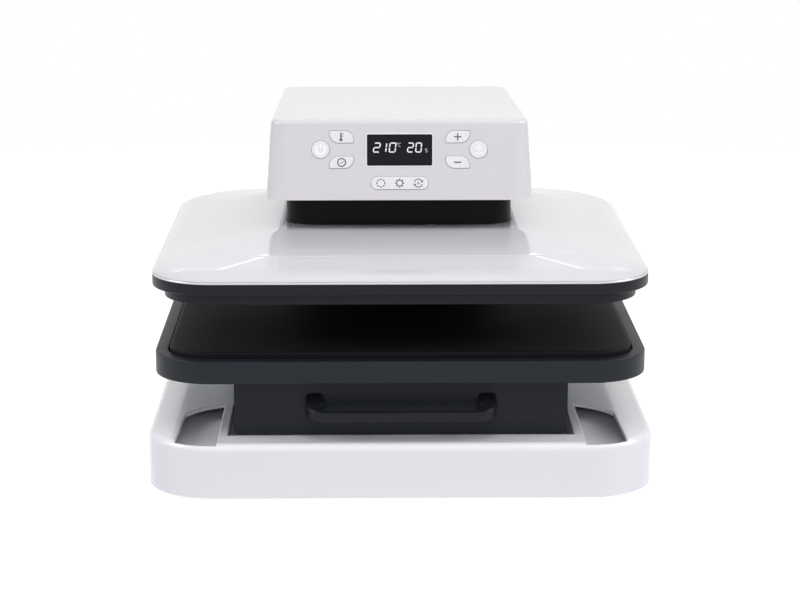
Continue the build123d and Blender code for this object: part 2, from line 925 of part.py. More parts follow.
def power_board_places():
    x = power_board_width / 2 - power_hole_inset
    z0 = power_board_low + power_hole_inset
    z1 = power_board_low + power_board_height - power_hole_inset
    return [(side * x, z) for side in (-1, 1) for z in (z0, z1)]


def power_board():
    y0 = side_plate_front + column_web_thickness + power_board_standoff
    return block(-power_board_width / 2, power_board_width / 2, y0, y0 + board_thickness,
                 power_board_low, power_board_low + power_board_height)


def power_parts():
    """The transformer, capacitors and heat sink on the power board."""
    y0 = side_plate_front + column_web_thickness + power_board_standoff + board_thickness
    y1 = y0 + power_part_depth
    z = power_board_low + relay_rise
    parts = []
    for rise in (transformer_rise, relay_rise):
        middle = power_board_low + rise
        parts.append(block(transformer_x - transformer_width / 2,
                           transformer_x + transformer_width / 2, y0, y1,
                           middle - transformer_height / 2, middle + transformer_height / 2))
    for i in range(capacitor_count):
        x = (i - (capacitor_count - 1) / 2) * capacitor_pitch + capacitor_radius
        parts.append(bar_along_y(x, z, y0, y1, capacitor_radius))
    for i in range(fin_count):
        x = fin_start + i * fin_pitch
        parts.append(block(x, x + fin_thickness, y0, y1, z - fin_height / 2, z + fin_height / 2))
    return parts


def power_standoffs():
    y0 = side_plate_front + column_web_thickness
    y1 = y0 + power_board_standoff
    return [bar_along_y(x, z, y0, y1, power_standoff_radius) for x, z in power_board_places()]


# Drawer and slides

def slide_bracket():
    """An upright angle on the deck that carries one slide."""
    web = block(slide_root - bracket_thickness, slide_root, slide_front,
                slide_front + slide_length, deck_height, slide_middle_height + slide_height / 2)
    foot = block(slide_root - bracket_thickness - bracket_foot, slide_root - bracket_thickness,
                 slide_front, slide_front + slide_length, deck_height,
                 deck_height + bracket_thickness)
    bracket = web + foot
    for x, y in rail_post_places():
        if x > 0:
            bracket = bracket - rod(x, y, deck_height, deck_height + bracket_thickness,
                                    screw_shank_radius + screw_hole_gap)
    return bracket


def bracket_screws():
    screws = []
    for x, y in rail_post_places():
        screws.append(screw_down(x, y, deck_height + bracket_thickness, rail_screw_length))
    return screws


def channel(x_web, x_tip, half, gauge):
    """A slide member: an upright web with two flanges that point the same way."""
    towards = 1 if x_tip > x_web else -1
    y0 = slide_front
    y1 = slide_front + slide_length
    middle = slide_middle_height
    web = block(x_web, x_web + towards * gauge, y0, y1, middle - half, middle + half)
    top = block(x_web, x_tip, y0, y1, middle + half - gauge, middle + half)
    bottom = block(x_web, x_tip, y0, y1, middle - half, middle - half + gauge)
    return web + top + bottom


def race(x0, x1, half):
    """The two rows of balls on a member, as one bar above and one below."""
    y0 = slide_front + race_end
    y1 = slide_front + slide_length - race_end
    height = slide_step - seat_gap
    middle = slide_middle_height
    upper = block(x0, x1, y0, y1, middle + half, middle + half + height)
    lower = block(x0, x1, y0, y1, middle - half - height, middle - half)
    return upper + lower


def slide_outer():
    half = slide_height / 2
    return channel(slide_root, slide_root + slide_depth - slide_lip, half, slide_gauge)


def slide_middle():
    half = slide_height / 2 - slide_gauge - slide_step
    web = slide_root + slide_gauge + slide_web_gap
    member = channel(web, web + slide_member_depth, half, slide_gauge)
    return member + race(web + race_inset, web + race_inset + race_width, half)


def slide_inner():
    half = slide_height / 2 - 2 * slide_gauge - 2 * slide_step
    tip = slide_wall - slide_member_depth
    member = channel(slide_wall, tip, half, slide_gauge)
    return member + race(tip + race_inset, tip + race_inset + race_width, half)


def carriage():
    """The folded steel box under the lower platen, open below and behind."""
    y0 = drawer_front + drawer_fascia
    top = block(-drawer_half, drawer_half, y0, drawer_back, tray_bottom - drawer_sheet, tray_bottom)
    front = block(-drawer_half, drawer_half, y0, y0 + drawer_sheet, drawer_bottom, tray_bottom)
    box = top + front
    for piece in both_sides(block(slide_wall, drawer_half, y0, drawer_back,
                                  drawer_bottom, tray_bottom)):
        box = box + piece
    for x, z in handle_screw_places():
        box = box - bar_along_y(x, z, y0, y0 + drawer_sheet, screw_shank_radius + screw_hole_gap)
    return box


def drawer_fascia_plate():
    y1 = drawer_front + drawer_fascia
    plate = block(-drawer_half, drawer_half, drawer_front, y1, drawer_bottom, tray_bottom)
    plate = fillet(plate.edges().filter_by(Axis.Y), fascia_corner_radius)
    for x, z in handle_screw_places():
        plate = plate - bar_along_y(x, z, drawer_front, y1, screw_shank_radius + screw_hole_gap)
    return plate


def handle_screw_places():
    z = drawer_bottom + handle_root_rise + handle_root_height / 2
    x = handle_width / 2 - handle_leg_width / 2
    return [(-x, z), (x, z)]


def handle():
    """A bow handle: two legs that taper forward into a level bar."""
    y0 = drawer_front - handle_reach
    y1 = drawer_front
    z0 = drawer_bottom
    half = handle_width / 2
    outer = RectangleRounded(handle_width, 2 * handle_reach, handle_corner_radius)
    inner_half = half - handle_leg_width
    inner = RectangleRounded(2 * inner_half, 2 * (handle_reach - handle_bar_depth),
                             handle_inner_radius)
    bow = extrude(outer - inner, drawer_height)
    bow = Pos(0, y1, z0) * bow
    bow = bow - block(-half, half, y1, y1 + handle_reach, z0, z0 + drawer_height)
    bar_low = z0 + handle_bar_rise
    bar_high = bar_low + handle_bar_height
    root_low = z0 + handle_root_rise
    root_high = root_low + handle_root_height
    side = Polyline((y0, bar_low), (y0 + handle_bar_depth, bar_low), (y1, root_low),
                    (y1, root_high), (y0 + handle_bar_depth, bar_high), (y0, bar_high),
                    close=True)
    face = Plane(origin=(0, 0, 0), x_dir=(0, 1, 0), z_dir=(1, 0, 0)) * make_face(side)
    wedge = extrude(face, half, both=True)
    bow = bow & wedge
    for x, z in handle_screw_places():
        bow = bow - bar_along_y(x, z, y1 - handle_screw_depth - seat_gap, y1,
                                screw_shank_radius + screw_hole_gap)
    return bow


def handle_screws():
    y_head = drawer_front + drawer_fascia + drawer_sheet
    length = drawer_fascia + drawer_sheet + handle_screw_depth
    return [screw_forward(x, z, y_head, length) for x, z in handle_screw_places()]


# Lower platen

def lower_tray():
    outer = slab(tray_size, tray_size, tray_corner_radius, platen_y, tray_bottom, tray_rim)
    inner_size = tray_size - 2 * tray_wall
    inner = slab(inner_size, inner_size, tray_corner_radius - tray_wall, platen_y,
                 tray_floor_top, tray_rim)
    tray = outer - inner
    rim = tray.faces().sort_by(Axis.Z)[-1]
    return fillet(rim.edges(), tray_edge_radius)


def lower_plate():
    return slab(pad_size, pad_size, pad_corner_radius, platen_y, tray_floor_top, lower_plate_top)


def silicone_pad():
    pad = slab(pad_size, pad_size, pad_corner_radius, platen_y, pad_bottom, pad_top)
    return fillet(pad.faces().sort_by(Axis.Z)[-1].edges(), pad_edge_radius)


# Upper platen

def element_path():
    """The heating element's line: lanes from side to side, joined by round bends."""
    z = heat_plate_top - element_radius - element_cover
    points = []
    first = platen_y - element_spacing * (element_lanes - 1) / 2
    for lane in range(element_lanes):
        y = first + lane * element_spacing
        ends = (-element_span, element_span) if lane % 2 == 0 else (element_span, -element_span)
        for x in ends:
            points.append((x, y, z))
    return FilletPolyline(*points, radius=element_spacing / 2 - element_bend_gap)


def heating_element():
    path = element_path()
    return sweep(Plane(origin=path @ 0, z_dir=path % 0) * Circle(element_radius), path)


def heat_plate():
    plate = slab(heat_plate_size, heat_plate_size, heat_plate_radius, platen_y,
                 heat_plate_bottom, heat_plate_top)
    plate = fillet(plate.faces().sort_by(Axis.Z)[0].edges(), heat_plate_edge)
    path = element_path()
    gap = element_radius + screw_hole_gap
    depth = 2 * element_radius + element_cover + screw_hole_gap
    channel_face = Rectangle(2 * gap, 2 * depth)
    first = path @ 0
    start = Plane(origin=(first.X, first.Y, heat_plate_top), x_dir=(0, 1, 0), z_dir=(1, 0, 0))
    lifted = Pos(0, 0, heat_plate_top - first.Z) * path
    plate = plate - sweep(start * channel_face, lifted)
    for x, y in standoff_places():
        plate = plate + tube(x, y, heat_plate_top, bezel_top, post_radius,
                             screw_shank_radius + screw_hole_gap)
    return plate


def insulation():
    size = heat_plate_size - 2 * insulation_inset
    blanket = slab(size, size, heat_plate_radius - insulation_inset, platen_y,
                   heat_plate_top, bezel_top)
    for x, y in standoff_places():
        blanket = blanket - rod(x, y, heat_plate_top, bezel_top, post_radius + seat_gap)
    return blanket - rod(0, platen_y, heat_plate_top, bezel_top, cutout_radius + cutout_room)


def standoff_places():
    half = pressure_plate_size / 2 - standoff_inset
    return [(sx * half, platen_y + sy * half) for sx in (-1, 1) for sy in (-1, 1)]


def thermal_cutout():
    can_top = heat_plate_top + cutout_height
    can = rod(0, platen_y, heat_plate_top, can_top, cutout_radius)
    return can + rod(0, platen_y, can_top, bezel_top - seat_gap, cutout_cap_radius)


def skirt():
    """The thin black ring round the heat plate, under the bezel."""
    inner = heat_plate_size + 2 * skirt_gap
    outer = inner + 2 * skirt_wall
    top = bezel_top - bezel_flange
    bottom = heat_plate_bottom + skirt_standback
    ring = slab(outer, outer, heat_plate_radius + skirt_gap + skirt_wall, platen_y, bottom, top)
    return ring - slab(inner, inner, heat_plate_radius + skirt_gap, platen_y, bottom, top)


def bezel():
    """The wide black ring under the cover."""
    outer = slab(bezel_width, bezel_depth, bezel_radius, platen_y, bezel_bottom, bezel_top)
    inner = slab(bezel_width - 2 * bezel_wall, bezel_depth - 2 * bezel_wall,
                 bezel_radius - bezel_wall, platen_y, bezel_bottom, bezel_top - bezel_flange)
    opening = heat_plate_size + 2 * skirt_gap
    hole = slab(opening, opening, heat_plate_radius + skirt_gap, platen_y, bezel_bottom, bezel_top)
    return outer - inner - hole


def heat_shield():
    width = bezel_width - 2 * shield_inset
    depth = bezel_depth - 2 * shield_inset
    sheet = slab(width, depth, bezel_radius - shield_inset, platen_y, bezel_top, shield_top)
    for x, y in standoff_places():
        sheet = sheet - rod(x, y, bezel_top, shield_top, screw_shank_radius + screw_hole_gap)
    return sheet


def pressure_plate():
    size = pressure_plate_size
    plate = slab(size, size, pressure_plate_radius, platen_y, shield_top, pressure_plate_top)
    for x, y in standoff_places():
        plate = plate - rod(x, y, shield_top, pressure_plate_top,
                            screw_shank_radius + screw_hole_gap)
    for x, y in rod_places():
        plate = plate - rod(x, y, shield_top, pressure_plate_top, rod_radius + run_fit)
    return plate - rod(0, platen_y, shield_top, pressure_plate_top, screw_radius + run_fit)


def platen_bolts():
    length = pressure_plate_thickness + shield_thickness + insulation_thickness
    return [screw_down(x, y, pressure_plate_top, length) for x, y in standoff_places()]


def cover_steps():
    """How far in from the edge each outline of the cover lies, and how high."""
    return [(cover_lip_inset, cover_lip_rise), (cover_roll_inset, cover_roll_rise),
            (cover_shoulder_inset, cover_shoulder_rise), (cover_crease_inset, cover_crease_rise),
            (cover_crown_inset, cover_crown_rise)]


def cover_body(wall):
    """The domed cover as a loft through its outlines, shrunk by a wall."""
    steps = [(0, wall)] + [(inset, rise) for inset, rise in cover_steps() if rise > wall]
    layers = []
    for inset, rise in steps:
        width = bezel_width - 2 * (inset + wall)
        depth = bezel_depth - 2 * (inset + wall)
        radius = max(bezel_radius - inset - wall, cover_corner_radius)
        outline = RectangleRounded(width, depth, radius)
        layers.append(Pos(0, platen_y, bezel_top + rise - wall) * outline)
    return loft(layers, ruled=True)


def upper_cover():
    cover = cover_body(0) - cover_body(cover_wall)
    gap = 2 * seat_gap
    hole = slab(neck_width + gap, neck_depth + gap, neck_radius + seat_gap, platen_y,
                bezel_top, cover_crown)
    return cover - hole


# Neck and screw drive

def neck_sleeve():
    outer = slab(neck_width, neck_depth, neck_radius, platen_y, pressure_plate_top, neck_top)
    inner = slab(neck_width - 2 * neck_wall, neck_depth - 2 * neck_wall,
                 neck_radius - neck_wall, platen_y, pressure_plate_top, neck_top)
    return outer - inner


def rod_places():
    return [(sx * rod_spacing_x, platen_y + sy * rod_spacing_y) for sx in (-1, 1) for sy in (-1, 1)]


def guide_rods():
    return [rod(x, y, shield_top, rod_top, rod_radius) for x, y in rod_places()]


def bush_outer():
    return rod_radius + bush_wall


def guide_bushes():
    return [tube(x, y, bush_bottom, bush_top, bush_outer(), rod_radius + run_fit)
            for x, y in rod_places()]


def guide_tubes():
    inner = bush_outer() + run_fit
    low = bush_bottom - guide_tube_lip
    return [tube(x, y, low, bridge_bottom, inner + guide_tube_wall, inner)
            for x, y in rod_places()]


def lead_screw():
    flange = rod(0, platen_y, pressure_plate_top, pressure_plate_top + screw_flange_thickness,
                 screw_flange_radius)
    return flange + rod(0, platen_y, shield_top, screw_top, screw_radius)


def drive_nut():
    body = rod(0, platen_y, nut_bottom, pulley_top, nut_radius)
    collar_low = lower_bearing_bottom + bearing_width + seat_gap
    collar_high = upper_bearing_top - bearing_width - seat_gap
    body = body + rod(0, platen_y, collar_low, collar_high, nut_collar_radius)
    body = body - rod(0, platen_y, nut_bottom, nut_thread_top, screw_radius + run_fit)
    return body - rod(0, platen_y, nut_thread_top, pulley_top, screw_radius + bridge_gap)


def nut_bearings():
    rings = []
    for low in (lower_bearing_bottom, upper_bearing_top - bearing_width):
        rings.append(tube(0, platen_y, low, low + bearing_width, bearing_radius,
                          nut_radius + run_fit))
    return rings


def bearing_housing():
    inner = bearing_radius + run_fit
    low = lower_bearing_bottom - housing_floor
    body = tube(0, platen_y, low, bridge_bottom, inner + housing_wall, inner)
    floor = tube(0, platen_y, low, lower_bearing_bottom, inner, nut_radius + bridge_gap)
    flange = tube(0, platen_y, bridge_bottom - housing_flange_thickness, bridge_bottom,
                  housing_flange_radius, inner)
    return body + floor + flange


def toothed_pulley(x, radius, bore):
    """A timing pulley with a flange above and below its teeth."""
    y = platen_y
    wheel = rod(x, y, pulley_bottom, pulley_top, radius)
    count = int(2 * math.pi * radius / pulley_tooth_pitch)
    for i in range(count):
        angle = 2 * math.pi * i / count
        groove = rod(x + radius * math.cos(angle), y + radius * math.sin(angle),
                     pulley_bottom, pulley_top, pulley_tooth_depth)
        wheel = wheel - groove
    reach = radius + pulley_flange_reach
    for low in (pulley_bottom, pulley_top - pulley_flange):
        wheel = wheel + rod(x, y, low, low + pulley_flange, reach)
    return wheel - rod(x, y, pulley_bottom, pulley_top, bore)


def nut_pulley():
    return toothed_pulley(0, nut_pulley_radius, nut_radius + run_fit)


def motor_pulley():
    return toothed_pulley(motor_x, motor_pulley_radius, shaft_radius + run_fit)


def belt_loop(extra):
    """The line round both pulleys, this far outside their teeth."""
    big = Pos(0, platen_y) * Circle(nut_pulley_radius + extra)
    small = Pos(motor_x, platen_y) * Circle(motor_pulley_radius + extra)
    return make_hull(big.edges() + small.edges())


def drive_belt():
    low = pulley_bottom + pulley_flange + belt_gap
    high = pulley_top - pulley_flange - belt_gap
    outline = belt_loop(belt_gap + belt_thickness) - belt_loop(belt_gap)
    return Pos(0, 0, low) * extrude(outline, high - low)


def drive_motor():
    low = bridge_bottom - motor_length
    body = rod(motor_x, platen_y, low, bridge_bottom, motor_radius)
    return body - rod(motor_x, platen_y, bridge_bottom - shaft_depth, bridge_bottom,
                      shaft_radius + run_fit)


def motor_shaft():
    low = bridge_bottom - shaft_depth + bridge_gap
    return rod(motor_x, platen_y, low, pulley_top, shaft_radius)


def bridge_bolt_places():
    """Where the bridge is bolted down to the lugs, clear of the sleeve."""
    x = side_plate_inner - lug_length / 2
    reach = bridge_half - lug_depth / 2
    return [(sx * x, platen_y + sy * reach) for sx in (-1, 1) for sy in (-1, 1)]


def bridge_lugs():
    """Blocks welded inside the cheeks, in front of the sleeve and behind it."""
    lugs = []
    for x, y in bridge_bolt_places():
        lug = block(x - lug_length / 2, x + lug_length / 2, y - lug_depth / 2, y + lug_depth / 2,
                    bridge_bottom - lug_height, bridge_bottom)
        hole = rod(x, y, bridge_bottom - lug_height, bridge_bottom,
                   screw_shank_radius + screw_hole_gap)
        lugs.append(lug - hole)
    return lugs


def bridge_bolts():
    return [screw_down(x, y, bridge_top, bridge_thickness + lug_height / 2)
            for x, y in bridge_bolt_places()]


def drive_bridge():
    """The casting over the platen: a plate, four guide sleeves and a bearing housing."""
    plate = block(-frame_tube_inner, frame_tube_inner, platen_y - bridge_half,
                  platen_y + bridge_half, bridge_bottom, bridge_top)
    plate = plate - rod(0, platen_y, bridge_bottom, bridge_top, nut_radius + column_clearance)
    plate = plate - rod(motor_x, platen_y, bridge_bottom, bridge_top,
                        shaft_radius + column_clearance)
    for x, y in bridge_bolt_places():
        plate = plate - rod(x, y, bridge_bottom, bridge_top, screw_shank_radius + screw_hole_gap)
    casting = plate + bearing_housing()
    for sleeve in guide_tubes():
        casting = casting + sleeve
    return casting


# Head

def head_body(inset, drop):
    """The tapered head with its sloping top, shrunk by a wall."""
    width = head_width - 2 * inset
    depth = head_depth - 2 * inset
    outline = RectangleRounded(width, depth, head_corner_radius - inset)
    body = extrude(outline, 2 * head_front_height, taper=head_draft)
    body = Pos(0, head_front + head_depth / 2, head_bottom) * body
    lean = math.sin(math.radians(head_draft)) * head_front_height
    top = head_bottom + head_front_height - drop
    fall = head_depth * math.tan(math.radians(head_slope))
    y0 = head_front + lean
    side = Polyline((y0 - head_depth, top + fall), (y0 + 2 * head_depth, top - 2 * fall),
                    (y0 + 2 * head_depth, top + head_depth), (y0 - head_depth, top + head_depth),
                    close=True)
    lid = Plane(origin=(0, 0, 0), x_dir=(0, 1, 0), z_dir=(1, 0, 0)) * make_face(side)
    return body - extrude(lid, head_width, both=True)


def panel_cut(outline, x, rise):
    """A hole through the head's front wall in the shape of an outline."""
    return panel * Pos(x, rise, -head_wall * 2) * extrude(outline, head_wall * 4)


def head_shell():
    outer = head_body(0, 0)
    top = outer.faces().sort_by(Axis.Z)[-1]
    outer = fillet(top.edges(), head_edge_radius)
    shell = outer - head_body(head_wall, head_wall)
    window = Rectangle(display_width + panel_gap, display_height + panel_gap)
    shell = shell - panel_cut(window, 0, display_rise)
    for name, outline, x, rise in button_table():
        shell = shell - panel_cut(offset(outline, panel_gap), x, rise)
    length = board_depth - head_wall / 2
    for x, rise in board_post_places():
        post = Pos(x, rise, -board_depth + length / 2) * Cylinder(board_post_radius, length)
        hole = Pos(x, rise, -board_depth + board_screw_length / 2) * Cylinder(
            board_screw_radius + screw_hole_gap, board_screw_length)
        shell = shell + panel * (post - hole)
    return shell


def board_post_places():
    """Where the control board is screwed to the posts behind the panel."""
    rises = (board_post_low, board_post_high)
    return [(side * board_post_x, rise) for side in (-1, 1) for rise in rises]


def head_floor():
    inset = head_wall + 2 * seat_gap
    floor = slab(head_width - 2 * inset, head_depth - 2 * inset, head_corner_radius - inset,
                 head_front + head_depth / 2, head_bottom, head_floor_top)
    gap = 2 * neck_clearance
    floor = floor - slab(neck_width + gap, neck_depth + gap, neck_radius + neck_clearance,
                         platen_y, head_bottom, head_floor_top)
    half = frame_tube_inner + column_clearance
    return floor - block(-half, half, side_plate_front - column_clearance,
                         side_plate_back + column_clearance, head_bottom, head_floor_top)


def leaf_outline(rising):
    """A leaf with two sharp corners and two round ones."""
    outline = Rectangle(leaf_width, leaf_height)
    round_corners = []
    for corner in outline.vertices():
        falls = corner.X * corner.Y < 0
        if falls == rising:
            round_corners.append(corner)
    outline = fillet(round_corners, leaf_round)
    return outline


def button_table():
    """Each button's name, outline, and place on the panel."""
    disc = Circle(round_button_radius)
    rising = leaf_outline(True)
    falling = leaf_outline(False)
    pill = SlotOverall(mode_width, mode_height)
    return [
        ("power_button", disc, -round_button_x, round_button_rise),
        ("start_button", disc, round_button_x, round_button_rise),
        ("temperature_button", falling, -leaf_x, leaf_upper_rise),
        ("timer_button", rising, -leaf_x, leaf_lower_rise),
        ("plus_button", rising, leaf_x, leaf_upper_rise),
        ("minus_button", falling, leaf_x, leaf_lower_rise),
        ("mode_button", pill, 0, mode_rise),
    ]


def button(outline, x, rise):
    """A cap with a hidden flange and a stem that reaches for its switch."""
    flange_top = -head_wall - panel_gap
    flange_bottom = flange_top - button_flange_thickness
    stem_end = -board_depth + switch_height + button_travel + seat_gap
    cap = Pos(0, 0, flange_top) * extrude(outline, button_stand - flange_top)
    cap = cap + Pos(0, 0, flange_bottom) * extrude(offset(outline, button_flange),
                                                   button_flange_thickness)
    stem = Pos(0, 0, stem_end) * extrude(Circle(button_stem_radius), flange_bottom - stem_end)
    return panel * Pos(x, rise, 0) * (cap + stem)


def tact_switches():
    switches = []
    for name, outline, x, rise in button_table():
        body = Pos(x, rise, -board_depth) * extrude(Rectangle(switch_size, switch_size),
                                                    switch_height)
        switches.append(panel * body)
    return switches


def control_board():
    outline = Pos(0, board_bottom + board_height / 2) * Rectangle(2 * board_half_width,
                                                                   board_height)
    board = extrude(outline, -board_thickness)
    for x, rise in board_post_places():
        board = board - Pos(x, rise, 0) * Cylinder(board_screw_radius + screw_hole_gap,
                                                   4 * board_thickness)
    return panel * Pos(0, 0, -board_depth) * board


def board_screws():
    screws = []
    low = -board_depth - board_thickness
    for x, rise in board_post_places():
        shank = Pos(x, rise, low + board_screw_length / 2) * Cylinder(board_screw_radius,
                                                                     board_screw_length)
        head = Pos(x, rise, low - board_screw_head_height / 2) * Cylinder(
            board_screw_head_radius, board_screw_head_height)
        screws.append(panel * (shank + head))
    return screws


def display_lens():
    top = Pos(0, display_rise, -head_wall) * extrude(Rectangle(display_width, display_height),
                                                     head_wall + lens_stand)
    flange_shape = Rectangle(display_width + 2 * lens_flange, display_height + 2 * lens_flange)
    flange = Pos(0, display_rise, -head_wall - lens_flange_thickness) * extrude(
        flange_shape, lens_flange_thickness)
    return panel * (top + flange)


def display_module():
    top = -head_wall - lens_flange_thickness
    outline = Rectangle(display_width - module_margin, display_height - module_margin)
    return panel * Pos(0, display_rise, -board_depth) * extrude(outline, board_depth + top)


def build():
    os.makedirs("parts", exist_ok=True)
    save("base_shell", base_shell())
    save("base_liner", base_liner())
    save("base_pan", base_pan())
    save("rubber_feet", *rubber_feet())
    save("base_frame", base_frame(), *rail_posts())
    save("side_plates", *side_plates())
    save("column_web", column_web(), *power_standoffs())
    save("frame_screws", *frame_screws())
    save("column_cover", column_cover())
    save("rear_cover", rear_cover())
    save("inlet_body", inlet_body())
    save("inlet_pins", *inlet_pins())
    save("rocker_switch_body", rocker_switch_body())
    save("rocker", rocker())
    save("fan_frame", fan_frame())
    save("fan_rotor", fan_rotor())
    save("power_board", power_board(), *power_parts())
    save("slide_brackets", *both_sides(slide_bracket()))
    save("slide_outer", *both_sides(slide_outer()))
    save("slide_middle", *both_sides(slide_middle()))
    save("slide_inner", *both_sides(slide_inner()))
    save("carriage", carriage())
    save("drawer_fascia", drawer_fascia_plate())
    save("handle", handle())
    save("handle_screws", *handle_screws())
    save("lower_tray", lower_tray())
    save("lower_plate", lower_plate())
    save("silicone_pad", silicone_pad())
    save("heat_plate", heat_plate())
    save("heating_element", heating_element())
    save("insulation", insulation())
    save("thermal_cutout", thermal_cutout())
    save("skirt", skirt())
    save("bezel", bezel())
    save("heat_shield", heat_shield())
    save("pressure_plate", pressure_plate())
    save("platen_bolts", *platen_bolts())
    save("upper_cover", upper_cover())
    save("neck_sleeve", neck_sleeve())
    save("guide_rods", *guide_rods())
    save("guide_bushes", *guide_bushes())
    save("lead_screw", lead_screw())
    save("drive_nut", drive_nut())
    save("nut_bearings", *nut_bearings())
    save("nut_pulley", nut_pulley())
    save("motor_pulley", motor_pulley(), motor_shaft())
    save("drive_belt", drive_belt())
    save("drive_motor", drive_motor())
    save("drive_bridge", drive_bridge())
    save("head_shell", head_shell())
    save("head_floor", head_floor())
    for name, outline, x, rise in button_table():
        save(name, button(outline, x, rise))
    save("control_board", control_board(), display_module(), *tact_switches())
    save("display_lens", display_lens())


build()
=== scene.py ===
# %% [markdown]
# # An automatic heat press
#
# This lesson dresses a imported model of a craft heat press: a white base, a
# drawer that carries the black lower plate, a domed upper plate on a black
# neck, and a white head with its buttons and display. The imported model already
# has every piece in its real place, in metres. It is loaded first, so that each
# new surface can be laid exactly where the machine says.

import json
import math

import bpy
import numpy as np
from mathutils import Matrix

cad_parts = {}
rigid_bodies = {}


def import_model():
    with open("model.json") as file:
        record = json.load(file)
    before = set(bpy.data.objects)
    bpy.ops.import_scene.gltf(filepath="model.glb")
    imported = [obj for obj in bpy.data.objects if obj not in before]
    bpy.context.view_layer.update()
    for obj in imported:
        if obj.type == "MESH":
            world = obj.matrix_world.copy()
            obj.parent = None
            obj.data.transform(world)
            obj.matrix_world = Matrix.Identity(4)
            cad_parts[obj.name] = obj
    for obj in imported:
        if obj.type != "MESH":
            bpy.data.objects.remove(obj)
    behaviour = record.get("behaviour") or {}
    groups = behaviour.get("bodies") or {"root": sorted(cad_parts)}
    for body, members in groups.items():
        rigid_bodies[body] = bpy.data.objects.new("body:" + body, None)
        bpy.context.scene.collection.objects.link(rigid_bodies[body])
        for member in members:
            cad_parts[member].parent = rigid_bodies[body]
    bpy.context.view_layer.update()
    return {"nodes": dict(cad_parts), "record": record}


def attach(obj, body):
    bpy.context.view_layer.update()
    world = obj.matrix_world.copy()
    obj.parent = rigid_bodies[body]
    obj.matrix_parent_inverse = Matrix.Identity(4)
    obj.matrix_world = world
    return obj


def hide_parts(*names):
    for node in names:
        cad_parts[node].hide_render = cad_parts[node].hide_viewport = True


for leftover in list(bpy.data.objects):
    bpy.data.objects.remove(leftover)
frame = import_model()
nodes = frame["nodes"]
print("pieces in the packed press:", len(nodes))

# %% [markdown]
# The press is drawn in millimetres on a maker's drawing, and Blender works in
# metres, so one value turns the first into the second. The sizes that several
# pieces share are written once here: the plates' centre, the slope of the
# panel, the plan of the upper platen and the neck, and the heights.

# %% Shared sizes
MM = 0.001
plate_centre = np.array([0.0, -34.0])
panel_draft = math.radians(4.3)
panel_front = -136.0
head_bottom = 226.5
tray_bottom = 94.0
pad_bottom = 108.0
pad_top = 118.0
bezel_bottom = 167.0
bezel_top = 176.5
cover_crown = 200.0
platen_width = 412.0
platen_depth = 404.0
neck_width = 193.0
neck_depth = 146.0
neck_corner = 26.0

# %% [markdown]
# ## The camera
#
# A product picture like this is taken from far away with a long lens, a little
# above the machine and a hair to the left of its middle. A long lens keeps the
# sides almost parallel. The camera is set first, because every later choice is
# judged through it.

# %% Camera
camera_data = bpy.data.cameras.new("front_camera")
camera_data.sensor_width = 36.0
camera_data.lens = 104.2
camera_data.clip_end = 20.0
camera = bpy.data.objects.new("front_camera", camera_data)
camera.location = (-0.02497, -2.0448, 0.58423)
camera_pitch = 13.083
camera_yaw = 0.758
camera.rotation_euler = (math.radians(90.0 - camera_pitch), 0.0, math.radians(-camera_yaw))
bpy.context.scene.collection.objects.link(camera)
bpy.context.scene.camera = camera
print("camera lens in mm:", camera_data.lens)

# %% [markdown]
# ## Outlines and profiles
#
# Almost every moulding here is one idea repeated: an outline with rounded
# corners, carried up a profile that says how far it has shrunk and how high it
# stands. Modelling tools could cut and bevel a box instead, but a worked out
# surface gives even, clean strips of faces and highlights without dents. The
# outline and the profile are both plain arrays, so a whole surface is one
# sum of arrays.

# %% Outline of a rounded shape
CORNER_STEPS = 14


def outline(width, depth, radii, grow=0.0):
    """A closed outline, counter-clockwise: four quarter circles joined by straight sides.
    Corner k has its centre at (±(width/2 - r), ±(depth/2 - r)) and runs over 90 degrees from
    k times 90 degrees. grow moves the whole outline outwards, so each radius becomes r + grow."""
    radii = np.maximum(np.broadcast_to(radii, 4) + grow, 0.02)
    signs = np.array([(1, 1), (-1, 1), (-1, -1), (1, -1)])
    half = np.array([width / 2 + grow, depth / 2 + grow])
    centres = signs * (half - radii[:, None])
    turn = np.linspace(0, math.pi / 2, CORNER_STEPS)
    angles = turn[None, :] + np.arange(4)[:, None] * math.pi / 2
    arcs = np.stack([np.cos(angles), np.sin(angles)], axis=2) * radii[:, None, None]
    return (centres[:, None, :] + arcs).reshape(-1, 2)


# %% Profile with rounded corners
def soft_profile(points, radii, steps=6):
    """A polyline of (shrink, height) points whose inner corners are replaced by arcs.
    Each arc is the quadratic curve a(1-t)^2 + 2bt(1-t) + ct^2 between a point before the corner
    and a point after it, both as far from the corner as the radius says."""
    points = np.array(points, float)
    rows = [points[:1]]
    t = np.linspace(0, 1, steps)[:, None]
    for before, corner, after, radius in zip(points, points[1:], points[2:], radii):
        to_before = (before - corner) / np.linalg.norm(before - corner)
        to_after = (after - corner) / np.linalg.norm(after - corner)
        start = corner + to_before * radius
        end = corner + to_after * radius
        rows.append(start * (1 - t) ** 2 + 2 * corner * t * (1 - t) + end * t ** 2)
    rows.append(points[-1:])
    return np.concatenate(rows)


